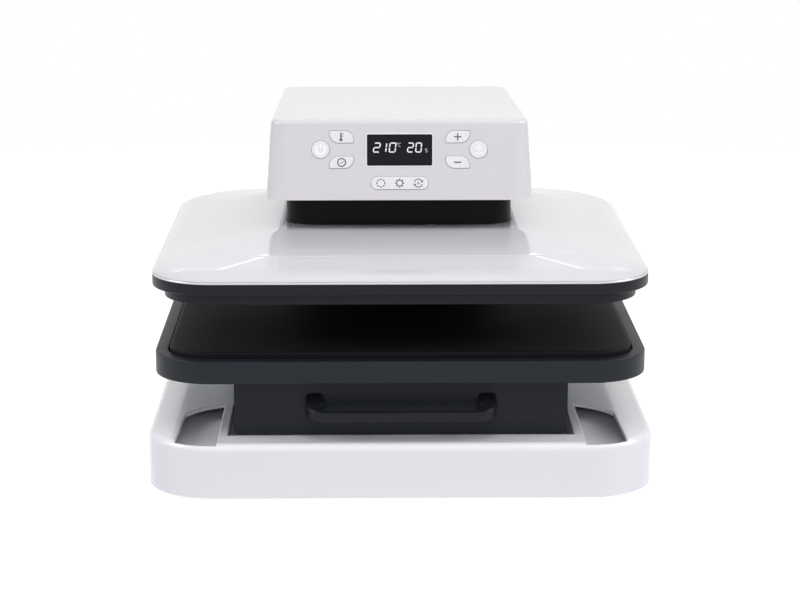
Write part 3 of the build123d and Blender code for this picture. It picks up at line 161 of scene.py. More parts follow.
# %% Skin over rows of points
def skin_grid(rows, first_cap=True, last_cap=True, joined=False):
    """Points and faces over rows of closed outlines, rows[m, n] = (x, y, z). Each cell of the
    grid is a face between row m and m + 1, and a cap is a fan round a row's mean point."""
    rows = np.asarray(rows, float)
    count, around = rows.shape[:2]
    index = np.arange(count * around).reshape(count, around)
    low = index if joined else index[:-1]
    high = np.roll(index, -1, axis=0) if joined else index[1:]
    cells = np.stack([low, np.roll(low, -1, axis=1), np.roll(high, -1, axis=1), high], axis=2)
    faces = cells.reshape(-1, 4).tolist()
    points = [rows.reshape(-1, 3)]
    if first_cap and not joined:
        middle = np.full(around, count * around)
        points.append(rows[0].mean(axis=0)[None])
        faces += np.stack([np.roll(index[0], -1), index[0], middle], axis=1).tolist()
    if last_cap and not joined:
        middle = np.full(around, count * around + len(points) - 1)
        points.append(rows[-1].mean(axis=0)[None])
        faces += np.stack([index[-1], np.roll(index[-1], -1), middle], axis=1).tolist()
    return np.concatenate(points), faces


def assembled(name, grids, sharp=32.0):
    """One piece from several (points, faces) in millimetres: each grid's face numbers are moved
    up by the number of points before it, and edges sharper than the angle stay sharp."""
    starts = np.cumsum([0] + [len(points) for points, faces in grids])
    points = np.concatenate([points for points, faces in grids]) * MM
    faces = [[number + start for number in face]
             for start, (own, own_faces) in zip(starts.tolist(), grids) for face in own_faces]
    mesh = bpy.data.meshes.new(name)
    mesh.from_pydata(points.tolist(), [], faces)
    mesh.shade_smooth()
    mesh.set_sharp_from_angle(angle=math.radians(sharp))
    piece = bpy.data.objects.new(name, mesh)
    bpy.context.scene.collection.objects.link(piece)
    print(name, "faces:", len(faces))
    return piece


def skin(name, rows, first_cap=True, last_cap=True, joined=False, sharp=32.0):
    """A piece made of a single skin."""
    return assembled(name, [skin_grid(rows, first_cap, last_cap, joined)], sharp)


def stacked(width, depth, radius, profile, centre=plate_centre):
    """Rows for skin: at each (shrink, height) of the profile, the outline shrunk by that much."""
    rows = [np.column_stack([outline(width, depth, radius, -shrink) + centre,
                             np.full(4 * CORNER_STEPS, height)])
            for shrink, height in profile]
    return np.array(rows)


# %% [markdown]
# ## Finishes
#
# A moulded plastic is never one flat colour. It has a faint cloudiness, a
# surface that is a little glossier in some places, and a very fine skin left by
# the mould. Those three are built from noise on the object's own coordinates,
# so that they stay on the piece when it moves. Image textures would need files
# and would stretch, so they aren't used.

# %% A finish from noise
finishes = {}


def finish(name, colour, shade, rough, rough_spread, cloud_scale, skin_scale, skin_depth,
           stretch=(1.0, 1.0, 1.0), **shader):
    """A material: colour mixed with shade by a cloud noise, roughness rough ± rough_spread by
    the same noise, and a bump of skin_depth millimetres from a finer noise. The cloud's place is
    scaled by stretch, so a small share along one axis draws it out into streaks."""
    material = bpy.data.materials.new(name)
    material.use_nodes = True
    tree = material.node_tree
    surface = tree.nodes["Principled BSDF"]
    place = tree.nodes.new("ShaderNodeTexCoord")
    cloud = tree.nodes.new("ShaderNodeTexNoise")
    cloud.inputs["Scale"].default_value = cloud_scale
    cloud.inputs["Detail"].default_value = 4.0
    scaled = tree.nodes.new("ShaderNodeMapping")
    scaled.inputs["Scale"].default_value = stretch
    tree.links.new(place.outputs["Object"], scaled.inputs["Vector"])
    tree.links.new(scaled.outputs["Vector"], cloud.inputs["Vector"])
    mixer = tree.nodes.new("ShaderNodeMix")
    mixer.data_type = "RGBA"
    mixer.inputs["A"].default_value = (*colour, 1.0)
    mixer.inputs["B"].default_value = (*shade, 1.0)
    tree.links.new(cloud.outputs["Fac"], mixer.inputs["Factor"])
    tree.links.new(mixer.outputs["Result"], surface.inputs["Base Color"])
    spread = tree.nodes.new("ShaderNodeMapRange")
    spread.inputs["To Min"].default_value = rough - rough_spread
    spread.inputs["To Max"].default_value = rough + rough_spread
    tree.links.new(cloud.outputs["Fac"], spread.inputs["Value"])
    tree.links.new(spread.outputs["Result"], surface.inputs["Roughness"])
    grain = tree.nodes.new("ShaderNodeTexNoise")
    grain.inputs["Scale"].default_value = skin_scale
    grain.inputs["Detail"].default_value = 2.0
    tree.links.new(place.outputs["Object"], grain.inputs["Vector"])
    bump = tree.nodes.new("ShaderNodeBump")
    bump.inputs["Distance"].default_value = skin_depth * MM
    bump.inputs["Strength"].default_value = 1.0
    tree.links.new(grain.outputs["Fac"], bump.inputs["Height"])
    tree.links.new(bump.outputs["Normal"], surface.inputs["Normal"])
    for socket, value in shader.items():
        surface.inputs[socket.replace("_", " ")].default_value = value
    finishes[name] = material
    return material


# %% [markdown]
# The white shells are glossy and faintly lilac, the way undyed ABS looks under
# cool light. The black parts are powder coated or spark-eroded, which gives a
# much rougher skin. Their soft blue sheen is painted into their colours.

# %% White and black mouldings
finish("white_gloss", (0.83, 0.82, 0.85), (0.80, 0.795, 0.825), 0.22, 0.03, 6.0, 700.0, 0.002,
       Coat_Weight=0.5, Coat_Roughness=0.06)
# Painted shade: a darker copy of the white for the cover, whose slopes face the lamps.
finish("cover_shaded_white", (0.675, 0.66, 0.685), (0.655, 0.64, 0.665), 0.24, 0.03, 6.0, 700.0, 0.002,
       Coat_Weight=0.8, Coat_Roughness=0.04)
# Painted shade: a darker copy of the white for the head, whose face meets the front lamp.
finish("head_shaded_white", (0.70, 0.68, 0.695), (0.68, 0.66, 0.675), 0.26, 0.03, 6.0, 700.0, 0.002,
       Coat_Weight=0.5, Coat_Roughness=0.06)
finish("white_satin", (0.78, 0.77, 0.80), (0.75, 0.745, 0.775), 0.34, 0.03, 6.0, 900.0, 0.004,
       Coat_Weight=0.25, Coat_Roughness=0.15)
finish("white_button", (0.84, 0.825, 0.845), (0.82, 0.805, 0.825), 0.28, 0.03, 20.0, 900.0, 0.002,
       Coat_Weight=0.3, Coat_Roughness=0.1)
# The blue lean in these black colours is a painted sheen.
finish("black_satin", (0.0050, 0.0068, 0.0105), (0.0070, 0.0090, 0.0135), 0.42, 0.05, 9.0, 1400.0, 0.012,
       Specular_IOR_Level=0.22)
finish("black_cast", (0.0070, 0.0092, 0.0130), (0.0095, 0.0120, 0.0165), 0.42, 0.05, 9.0, 1400.0, 0.014,
       Specular_IOR_Level=0.25)
finish("black_sleeve", (0.006, 0.005, 0.006), (0.008, 0.0065, 0.0075), 0.4, 0.04, 8.0, 900.0, 0.004,
       Specular_IOR_Level=0.08)
finish("black_plastic", (0.0065, 0.0075, 0.0105), (0.0090, 0.0100, 0.0135), 0.36, 0.05, 12.0, 1500.0, 0.010,
       Specular_IOR_Level=0.2)
finish("black_lens", (0.009, 0.008, 0.0105), (0.011, 0.010, 0.0125), 0.14, 0.02, 12.0, 600.0, 0.0005,
       Specular_IOR_Level=0.12)
finish("silicone", (0.005, 0.0045, 0.006), (0.007, 0.0065, 0.008), 0.55, 0.06, 14.0, 1100.0, 0.020,
       Specular_IOR_Level=0.1)
finish("foot_rubber", (0.03, 0.03, 0.03), (0.045, 0.045, 0.045), 0.75, 0.06, 30.0, 900.0, 0.030)
finish("belt_rubber", (0.022, 0.022, 0.022), (0.035, 0.035, 0.035), 0.7, 0.06, 60.0, 1200.0, 0.030)

# %% [markdown]
# Metals differ in how they were made. Rolled and zinc plated sheet has long
# faint streaks, castings are grainy, and ground rods are almost mirrors.

# %% Metals, boards and blankets
finish("frame_steel", (0.07, 0.07, 0.078), (0.09, 0.09, 0.098), 0.45, 0.06, 15.0, 900.0, 0.02)
finish("motor_black", (0.035, 0.035, 0.04), (0.05, 0.05, 0.055), 0.4, 0.05, 20.0, 900.0, 0.01)
rolled = (1.0, 0.05, 1.0)
finish("plain_steel", (0.38, 0.38, 0.40), (0.52, 0.52, 0.54), 0.38, 0.10, 90.0, 1300.0, 0.008,
       rolled, Metallic=1.0)
finish("zinc_steel", (0.48, 0.49, 0.52), (0.64, 0.64, 0.66), 0.34, 0.10, 110.0, 1300.0, 0.006,
       rolled, Metallic=1.0)
finish("screw_steel", (0.30, 0.30, 0.32), (0.42, 0.42, 0.44), 0.36, 0.08, 90.0, 1600.0, 0.006,
       Metallic=1.0)
finish("rod_chrome", (0.72, 0.72, 0.74), (0.78, 0.78, 0.80), 0.12, 0.03, 30.0, 1500.0, 0.001,
       Metallic=1.0)
finish("cast_aluminium", (0.52, 0.52, 0.53), (0.60, 0.60, 0.61), 0.5, 0.07, 30.0, 1100.0, 0.03,
       Metallic=1.0)
finish("coated_aluminium", (0.016, 0.016, 0.018), (0.024, 0.024, 0.026), 0.4, 0.05, 20.0, 1300.0,
       0.01)
finish("bronze", (0.56, 0.40, 0.20), (0.66, 0.49, 0.26), 0.36, 0.07, 60.0, 1300.0, 0.006,
       Metallic=1.0)
finish("glass_fibre", (0.70, 0.66, 0.54), (0.80, 0.77, 0.66), 0.9, 0.05, 120.0, 700.0, 0.2)
finish("circuit", (0.015, 0.09, 0.04), (0.025, 0.13, 0.06), 0.4, 0.06, 160.0, 900.0, 0.02)
print("finishes:", len(finishes))

# %% [markdown]
# Every imported piece says which of these finishes it has, so one loop paints
# the pieces that keep their imported shape. The head's face turns straight to the
# front lamp, so its shell gets a slightly darker white of its own, which is
# painted shade.

# %% Paint the imported pieces
for row in frame["record"]["subparts"]:
    mesh = nodes[row["node"]].data
    mesh.materials.clear()
    mesh.materials.append(finishes[row["material_slot"]])
# The head shell's darker white is painted shade.
nodes["head_shell"].data.materials[0] = finishes["head_shaded_white"]


def place_on(piece, body, slot_name, *replaced):
    """Paints a new piece, seats it on its moving body and hides what it stands for."""
    piece.data.materials.clear()
    piece.data.materials.append(finishes[slot_name])
    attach(piece, body)
    if replaced:
        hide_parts(*replaced)
    return piece


# %% [markdown]
# ## The upper platen's cover
#
# The cover is a wide shallow dome. Its side climbs steeply from the black ring,
# rolls over a soft shoulder and rises gently up to the neck, with one small step
# on the way that shows as a crease. Each of those is a stretch of the profile
# below, and the corners between them are rounded just enough to catch a line of
# light.
#
# Seen from above, its sides swell a little and its corners open out on the way
# up, so that no hard ridge runs from the corners to the neck. Behind the middle
# the dome sinks, by up to a tenth of its height. Its slopes face the lamps, so it
# too gets a darker white of its own, which is painted shade.

# %% Domed cover
platen_corners = np.array([68.0, 68.0, 50.0, 50.0])
front_barrel = 0.018
rear_barrel = 0.040
rear_drop = 0.1
lip_foot = (0.0, 0.4)
lip = (1.2, 2.7)
roll = (5.5, 5.7)
shoulder = (15.0, 8.6)
crease_foot = (44.0, 13.7)
crease = (45.2, 14.15)
crown = (105.0, cover_crown - bezel_top)
climb_rounding = (0.1, 0.2, 1.1, 2.4, 2.2, 0.5, 0.5)
growth_places = (0.0, 15.0, 45.0, 105.0)
growth_sizes = (0.0, 10.0, 50.0, 55.0)
cover_wall = 2.0
neck_clearance = 0.3
hole_bevel, hole_drop, hole_reach = 0.6, 0.3, 3.0


def barrelled(rows):
    """The same rows with swelling sides: x is scaled by 1 - barrel * v^2, where v is how far a
    point lies before or behind the middle, as a share of half the depth, and the barrel is
    stronger behind the middle than before it."""
    share = (rows[:, :, 1] - plate_centre[1]) / (platen_depth / 2)
    shaped = rows.copy()
    shaped[:, :, 0] *= 1 - np.where(share > 0, rear_barrel, front_barrel) * share ** 2
    return shaped


climb = [(shrink, bezel_top + rise)
         for shrink, rise in (lip_foot, lip, roll, shoulder, crease_foot, crease, crown)]
cover_profile = soft_profile([(3.0, bezel_top), (0.15, bezel_top)] + climb, climb_rounding, 8)
corner_growth = np.interp(cover_profile[:, 0], growth_places, growth_sizes)
cover_rows = barrelled(np.concatenate(
    [stacked(platen_width, platen_depth, platen_corners + growth, [level])
     for growth, level in zip(corner_growth, cover_profile)]))
backward = np.clip((cover_rows[:, :, 1] - plate_centre[1]) / (platen_depth / 2), 0.0, 1.0)
fall = 1 - rear_drop * backward ** 2
cover_rows[:, :, 2] = bezel_top + (cover_rows[:, :, 2] - bezel_top) * fall
hole = np.array([(hole_bevel, cover_crown), (0.0, cover_crown - hole_drop),
                 (0.0, cover_crown - hole_reach)])
hole_rows = stacked(neck_width + 2 * neck_clearance, neck_depth + 2 * neck_clearance,
                    neck_corner + neck_clearance, hole * (-1, 1))
cover = skin("platen_cover", np.concatenate([cover_rows, hole_rows]), False, False)
thickness = cover.modifiers.new("wall", "SOLIDIFY")
thickness.thickness = cover_wall * MM
thickness.offset = -1.0
place_on(cover, "press", "white_gloss", "upper_cover")
# The cover's darker white is painted shade.
cover.data.materials[0] = finishes["cover_shaded_white"]

# %% [markdown]
# The neck that joins the dome to the head is a black sleeve with broad round
# corners. Half of it is hidden in the head while the platen is up, and most of
# that half slides out as the platen drops.

# %% Neck
neck_bottom = 184.0
neck_top = 269.0
neck_wall = 3.0
neck_rows = stacked(neck_width, neck_depth, neck_corner,
                    [(0.0, neck_bottom), (0.0, neck_top), (neck_wall, neck_top),
                     (neck_wall, neck_bottom)])
neck = skin("neck_tube", neck_rows, joined=True)
place_on(neck, "press", "black_sleeve", "neck_sleeve")

# %% [markdown]
# Below the cover sits a black ring, and inside it a second, narrower one that
# surrounds the hot plate. Both are closed rings: the profile goes round and
# comes back to where it started.

# %% Bezel and skirt
bezel_wall = 5.5
bezel_reach = 13.0
flange_top = bezel_top - 0.1
flange_bottom = bezel_top - 3.4
skirt_size = 388.0
skirt_corner = 44.0
skirt_wall = 3.0
skirt_bottom = 158.0
skirt_top = 173.0
bezel_rows = barrelled(stacked(platen_width, platen_depth, platen_corners, soft_profile(
    [(bezel_wall, bezel_bottom + 1.0), (bezel_wall, bezel_bottom), (0.0, bezel_bottom),
     (0.0, flange_top), (bezel_reach, flange_top), (bezel_reach, flange_bottom),
     (bezel_wall, flange_bottom), (bezel_wall, bezel_bottom + 1.1)],
    (0.5, 1.6, 0.5, 0.3, 0.3, 0.3), 5)))
bezel = skin("platen_bezel", bezel_rows, joined=True)
place_on(bezel, "press", "black_plastic", "bezel")
skirt_rows = stacked(skirt_size, skirt_size, skirt_corner, soft_profile(
    [(skirt_wall, skirt_bottom + 1.5), (skirt_wall, skirt_bottom), (0.0, skirt_bottom),
     (0.0, skirt_top), (skirt_wall, skirt_top), (skirt_wall, skirt_bottom + 2.0)],
    (0.6, 1.0, 0.1, 0.1), 5))
skirt = skin("platen_skirt", skirt_rows, joined=True)
place_on(skirt, "press", "black_plastic", "skirt")

# %% [markdown]
# ## The lower platen
#
# The tray is a shallow casting with a broad flat rim. Its outer edge is broken
# by a small radius, which shows as a thin bright line along the front.

# %% Tray
tray_size = 404.0
tray_corner = 47.0
tray_wall = 10.7
tray_top = 113.0
tray_floor = 98.0
tray_rows = stacked(tray_size, tray_size, tray_corner, soft_profile(
    [(4.0, tray_bottom), (0.0, tray_bottom), (0.0, tray_top), (tray_wall, tray_top),
     (tray_wall, tray_floor), (tray_wall + 1.0, tray_floor)],
    (1.6, 1.4, 1.2, 0.5), 6))
tray = skin("platen_tray", tray_rows)
place_on(tray, "drawer", "black_cast", "lower_tray")

# %% [markdown]
# The pad is a slab of silicone foam. It is soft, so it isn't a perfect slab:
# its top edge is generously rounded, its face swells by a fraction of a
# millimetre in the middle, and it is flat where it rests on the plate. The
# face is a grid of rows that shrink towards the centre, so that the swelling is
# simply a function of how far in each row lies.

# %% Silicone pad
pad_size = 380.0
pad_corner = 33.0
pad_crown = 0.3
pad_shoulder = 6.0
pad_core = 4.0
pad_rings = 24
pad_side = soft_profile(
    [(3.0, pad_bottom), (0.0, pad_bottom), (0.0, pad_top - pad_crown),
     (pad_shoulder, pad_top - pad_crown)], (0.8, 2.2), 8)
inward = np.linspace(pad_shoulder, pad_size / 2 - pad_core, pad_rings)[1:]
swell = pad_crown * np.sin(inward / inward[-1] * math.pi / 2)
pad_profile = np.concatenate([pad_side, np.column_stack([inward, pad_top - pad_crown + swell])])
pad = skin("press_pad", stacked(pad_size, pad_size, pad_corner, pad_profile))
place_on(pad, "drawer", "silicone", "silicone_pad")

# %% [markdown]
# ## The drawer pull
#
# The pull is a bow: it leaves the drawer's face at two tall feet, turns
# through a wide corner and runs level across the front. A tube swept along a
# path would be round everywhere, but the real section changes from a tall foot
# to a flat bar, so the width and the height of the section follow the path too.

# %% Drawer pull
def bow_path(half, reach, corner, steps):
    """The middle line of the pull in plan: straight out from the face, a quarter circle of
    radius corner, straight across, and the same again on the other side."""
    turn = np.linspace(0, math.pi / 2, steps)
    left = np.column_stack([-half + corner - corner * np.cos(turn),
                            -reach + corner - corner * np.sin(turn)])
    straight = np.column_stack([np.full(steps, -half), np.linspace(0, -reach + corner, steps)])
    across = np.column_stack([np.linspace(-half + corner, 0, steps), np.full(steps, -reach)])
    side = np.concatenate([straight, left[1:], across[1:]])
    return np.concatenate([side, side[-2::-1] * (-1, 1)])


drawer_face = -219.0
pull_half = 70.5
pull_reach = 20.0
pull_corner = 10.0
foot_half_width, bar_half_depth = 7.5, 4.5
foot_half_height, bar_half_height = 8.0, 4.0
foot_middle_z, bar_middle_z = 74.0, 68.0
round_power = 0.45
bow_steps = 12
section_points = 32
pull_path = bow_path(pull_half, pull_reach, pull_corner, bow_steps)
along = np.gradient(pull_path, axis=0)
along /= np.linalg.norm(along, axis=1)[:, None]
across_path = np.column_stack([along[:, 1], -along[:, 0]])
out_share = np.clip(-pull_path[:, 1] / pull_reach, 0, 1)
facing = np.abs(along[:, 0])
half_width = foot_half_width + (bar_half_depth - foot_half_width) * facing
half_height = foot_half_height + (bar_half_height - foot_half_height) * out_share
middle_z = foot_middle_z + (bar_middle_z - foot_middle_z) * out_share
section_turn = np.linspace(0, 2 * math.pi, section_points + 1)[:-1]
section_side = np.sign(np.cos(section_turn)) * np.abs(np.cos(section_turn)) ** round_power
section_up = np.sign(np.sin(section_turn)) * np.abs(np.sin(section_turn)) ** round_power
pull_rows = np.zeros((len(pull_path), len(section_turn), 3))
pull_rows[:, :, :2] = (pull_path[:, None, :] + np.array([0.0, drawer_face])
                       + across_path[:, None, :] * (half_width[:, None] * section_side)[:, :, None])
pull_rows[:, :, 2] = middle_z[:, None] + half_height[:, None] * section_up
pull_rows[:, :, 1] = np.minimum(pull_rows[:, :, 1], drawer_face)
pull = skin("drawer_pull", pull_rows[:, ::-1], sharp=50.0)
place_on(pull, "drawer", "black_plastic", "handle")

# %% [markdown]
# ## The control panel
#
# The head's face leans back by a few degrees. It would be easy to draw on an
# upright plane and turn the result afterwards, but a turned object loses its
# place when it is exported. So every point of the panel is written as so far
# across, so far up the slope and so far out of it, and one formula turns that
# into its real place.

# %% Points on the sloping panel
panel_origin = np.array([0.0, panel_front, head_bottom])
panel_up = np.array([0.0, math.sin(panel_draft), math.cos(panel_draft)])
panel_out = np.array([0.0, -math.cos(panel_draft), math.sin(panel_draft)])


def on_panel(places, stand):
    """The place is origin + across * x axis + rise * panel_up + stand * panel_out."""
    places = np.asarray(places, float)
    stand = np.broadcast_to(stand, places.shape[:-1])
    return (panel_origin + places[..., :1] * np.array([1.0, 0.0, 0.0])
            + places[..., 1:2] * panel_up + stand[..., None] * panel_out)


# %% [markdown]
# Each button is a cap with a softly rounded shoulder. Behind the wall it has a
# flange that keeps it from falling out and a round stem that reaches for its
# switch. All of that is one outline grown and shrunk along a profile, except
# the stem, whose rows are circles seen in the same directions.

# %% Buttons
FLANGE_TOP = -2.8
FLANGE_BOTTOM = -4.0
STEM_END = -6.2
STEM_RADIUS = 1.5
CAP_STAND = 0.5
CAP_EDGE = 1.6
CAP_ROUNDING = 0.8
SHARP_TIP = 0.9


def button(name, width, height, radii, across, rise):
    """Rows from the stem's end to the cap's face: the stem's circle, then the outline
    grown by 1 as the flange, then the outline itself, whose edge turns over by a soft curve."""
    flat = outline(width, height, radii)
    circle = flat / np.linalg.norm(flat, axis=1)[:, None] * STEM_RADIUS
    flange = outline(width, height, radii, 1.0)
    cap = soft_profile([(0.0, FLANGE_TOP), (0.0, CAP_STAND), (CAP_EDGE, CAP_STAND)],
                       (CAP_ROUNDING,), 7)
    flats = [circle, circle, flange, flange]
    stands = [STEM_END, FLANGE_BOTTOM, FLANGE_BOTTOM, FLANGE_TOP]
    flats += [outline(width, height, radii, -shrink) for shrink, stand in cap]
    stands += [stand for shrink, stand in cap]
    rows = [on_panel(row + np.array([across, rise]), stand) for row, stand in zip(flats, stands)]
    piece = skin(name + "_cap", rows)
    return place_on(piece, name, "white_button", name)


disc_radius = 7.5
disc_x, disc_rise = 66.0, 42.5
leaf_width, leaf_height, leaf_round = 20.2, 10.2, 7.5
leaf_x, leaf_high, leaf_low = 48.5, 53.1, 31.8
mode_width, mode_height, mode_rise = 48.4, 11.0, 14.4
falling_leaf = (leaf_round, SHARP_TIP, leaf_round, SHARP_TIP)
rising_leaf = (SHARP_TIP, leaf_round, SHARP_TIP, leaf_round)
for name, across in (("power_button", -disc_x), ("start_button", disc_x)):
    button(name, 2 * disc_radius, 2 * disc_radius, disc_radius, across, disc_rise)
for name, leaf, across, rise in (("temperature_button", falling_leaf, -leaf_x, leaf_high),
                                 ("timer_button", rising_leaf, -leaf_x, leaf_low),
                                 ("plus_button", rising_leaf, leaf_x, leaf_high),
                                 ("minus_button", falling_leaf, leaf_x, leaf_low)):
    button(name, leaf_width, leaf_height, leaf, across, rise)
button("mode_button", mode_width, mode_height, mode_height / 2, 0.0, mode_rise)

# %% [markdown]
# The marks on the caps and the digits in the window are all strokes: a line or
# an arc with a width. On the real thing they are printed. A picture would need
# a file, and text would need a font, so each stroke is a very thin solid that
# stands a few hundredths of a millimetre above what it is printed on.

# %% Strokes
HALF_INK = 0.03


def arc(across, rise, radius, first, last, steps=25):
    """Points of a circle's arc: centre + radius * (cos, sin) for angles from first to last."""
    angles = np.radians(np.linspace(first, last, steps))
    return np.column_stack([across + radius * np.cos(angles), rise + radius * np.sin(angles)])


def line(across0, rise0, across1, rise1):
    """The two ends of a straight stroke, each as (across, rise)."""
    return np.array([(across0, rise0), (across1, rise1)], float)


def stroke_grid(path, width, stand, joined=False):
    """A flat bar along a path: at each point a rectangle, half the width to each side along the
    normal of the path's direction, and half the ink's thickness above and below its stand."""
    path = np.asarray(path, float)
    if joined:
        direction = np.roll(path, -1, axis=0) - np.roll(path, 1, axis=0)
    else:
        direction = np.gradient(path, axis=0)
    direction /= np.linalg.norm(direction, axis=1)[:, None]
    left = np.column_stack([-direction[:, 1], direction[:, 0]]) * width / 2
    low, high = stand - HALF_INK, stand + HALF_INK
    rows = np.stack([on_panel(path + left, low), on_panel(path + left, high),
                     on_panel(path - left, high), on_panel(path - left, low)], axis=1)
    return skin_grid(rows, joined=joined)


def ring(across, rise, radius, width, stand):
    """A closed circular stroke: an arc of 360 degrees without its last point, joined up."""
    return stroke_grid(arc(across, rise, radius, 0, 360, 37)[:-1], width, stand, joined=True)


def printed(name, body, slot_name, paint, grids):
    """A print made of strokes, which rides on the piece it is printed on."""
    piece = place_on(assembled(name, grids), body, slot_name)
    piece.data.materials[0] = finishes[paint]
    return piece


finish("print_grey", (0.105, 0.10, 0.11), (0.12, 0.115, 0.125), 0.5, 0.03, 60.0, 900.0, 0.001,
       Specular_IOR_Level=0.2)
finish("print_white", (0.97, 0.97, 0.98), (0.95, 0.95, 0.96), 0.4, 0.03, 60.0, 900.0, 0.001)
finish("digit_light", (0.80, 0.80, 0.83), (0.76, 0.76, 0.79), 0.5, 0.03, 60.0, 900.0, 0.001,
       Emission_Color=(0.9, 0.92, 1.0, 1.0), Emission_Strength=0.12)
finish("digit_faint", (0.55, 0.55, 0.57), (0.50, 0.50, 0.52), 0.5, 0.03, 60.0, 900.0, 0.001)

# %% Marks on the buttons
ON_CAP = CAP_STAND + 0.01
power_radius, power_gap = 3.7, 32
power_marks = [stroke_grid(arc(-disc_x, disc_rise, power_radius, 90 + power_gap,
                               450 - power_gap, 41), 1.9, ON_CAP),
               stroke_grid(line(-disc_x, disc_rise + 1.0, -disc_x, disc_rise + 5.2), 1.3, ON_CAP)]
printed("power_mark", "power_button", "white_button", "print_white", power_marks)
start_marks = [stroke_grid(line(disc_x, disc_rise + 4.8, disc_x, disc_rise + 1.0), 1.5, ON_CAP),
               stroke_grid(line(disc_x - 2.6, disc_rise + 2.0, disc_x, disc_rise - 0.8), 1.3, ON_CAP),
               stroke_grid(line(disc_x + 2.6, disc_rise + 2.0, disc_x, disc_rise - 0.8), 1.3, ON_CAP),
               stroke_grid(line(disc_x - 3.6, disc_rise - 3.2, disc_x + 3.6, disc_rise - 3.2),
                           1.5, ON_CAP)]
printed("start_mark", "start_button", "white_button", "print_white", start_marks)
bulb_x = -leaf_x - 0.4
thermometer = [stroke_grid(line(bulb_x, leaf_high - 1.6, bulb_x, leaf_high + 3.4), 1.3, ON_CAP),
               ring(bulb_x, leaf_high - 2.3, 0.66, 1.25, ON_CAP)]
thermometer += [stroke_grid(line(bulb_x + 1.1, leaf_high + tick, bulb_x + 2.0, leaf_high + tick),
                            0.45, ON_CAP) for tick in (0.4, 1.6, 2.8)]
printed("temperature_mark", "temperature_button", "black_plastic", "print_grey", thermometer)
timer_marks = [ring(-leaf_x, leaf_low, 3.3, 0.95, ON_CAP),
               stroke_grid([(-leaf_x - 1.3, leaf_low + 0.1), (-leaf_x - 0.3, leaf_low - 1.0),
                            (-leaf_x + 1.4, leaf_low + 1.1)], 0.5, ON_CAP)]
printed("timer_mark", "timer_button", "black_plastic", "print_grey", timer_marks)
plus_marks = [stroke_grid(line(leaf_x - 3.1, leaf_high, leaf_x + 3.1, leaf_high), 1.0, ON_CAP)]
plus_marks += [stroke_grid(line(leaf_x, leaf_high + side * 0.5, leaf_x, leaf_high + side * 3.1),
                           1.0, ON_CAP) for side in (-1, 1)]
printed("plus_mark", "plus_button", "black_plastic", "print_grey", plus_marks)
printed("minus_mark", "minus_button", "black_plastic", "print_grey",
        [stroke_grid(line(leaf_x - 3.1, leaf_low, leaf_x + 3.1, leaf_low), 1.1, ON_CAP)])
mode_x = 15.7
eighths = range(0, 360, 45)
dash_radius, dash_half = 3.3, 16
gear_radius, tooth_radius, tooth_half = 2.5, 3.35, 9
turn_radius = 3.4
mode_marks = [stroke_grid(arc(-mode_x, mode_rise, dash_radius, dash - dash_half,
                              dash + dash_half, 5), 0.8, ON_CAP) for dash in eighths]
mode_marks.append(ring(0.0, mode_rise, gear_radius, 0.7, ON_CAP))
for tooth in eighths:
    tooth_arc = arc(0.0, mode_rise, tooth_radius, tooth - tooth_half, tooth + tooth_half, 3)
    mode_marks.append(stroke_grid(tooth_arc, 0.9, ON_CAP))
for half_turn in (0, 180):
    turn_arc = arc(mode_x, mode_rise, turn_radius, half_turn + 25, half_turn + 165, 17)
    mode_marks.append(stroke_grid(turn_arc, 0.75, ON_CAP))
    arrow_head = arc(mode_x, mode_rise, turn_radius, half_turn + 12, half_turn + 32, 2)
    mode_marks.append(stroke_grid(arrow_head, 1.7, ON_CAP))
mode_marks.append(stroke_grid([(mode_x - 0.9, mode_rise - 1.1), (mode_x, mode_rise + 1.3),
                               (mode_x + 0.9, mode_rise - 1.1)], 0.7, ON_CAP))
printed("mode_marks", "mode_button", "black_plastic", "print_grey", mode_marks)

# %% [markdown]
# The display is a smoked window. On a real press its digits glow from behind,
# and here they are strokes that lie on its face. Each digit has up to seven
# strokes between six corners, as on any clock, and leans a little to the right:
# the lean adds a share of the height to the place across.

# %% Display
display_rise = 42.1
window_width, window_height, window_corner = 54.4, 26.1, 1.2
flange_width, flange_height, flange_corner = 58.5, 30.2, 2.0
FLANGE_BACK = -3.7
FLANGE_FRONT = -2.5
LENS_TOP = 0.2
rim_clearance = 0.1
rim_profile = ((0.0, 0.0), (0.0, 0.28), (0.25, 0.35), (0.65, 0.35), (0.95, 0.0))
lens_flange = outline(flange_width, flange_height, flange_corner)
lens_flats = [lens_flange, lens_flange, outline(window_width, window_height, window_corner)]
lens_stands = [FLANGE_BACK, FLANGE_FRONT, FLANGE_FRONT]
for shrink, stand in soft_profile([(0.0, 0.0), (0.0, LENS_TOP), (0.6, LENS_TOP)], (0.12,), 4):
    lens_flats.append(outline(window_width, window_height, window_corner, -shrink))
    lens_stands.append(stand)
lens = skin("display_window", [on_panel(row + np.array([0.0, display_rise]), stand)
                               for row, stand in zip(lens_flats, lens_stands)])
place_on(lens, "frame", "black_lens", "display_lens")
rim_flats = []
for grow, stand in rim_profile:
    rim_line = outline(window_width + 2 * rim_clearance, window_height + 2 * rim_clearance,
                       window_corner, grow)
    rim_flats.append(on_panel(rim_line + np.array([0.0, display_rise]), stand))
rim = skin("display_rim", rim_flats[::-1], joined=True)
place_on(rim, "frame", "white_button")

corners = {"a": (-1, 1), "b": (1, 1), "c": (-1, 0), "d": (1, 0), "e": (-1, -1), "f": (1, -1)}
shapes = {"0": "ab bd df fe ec ca", "1": "bd df", "2": "ab bd dc ce ef", "s": "ba ac cd df fe",
          "C": "ba ac ce ef"}
ON_LENS = LENS_TOP + 0.02
END_GAP = 0.32


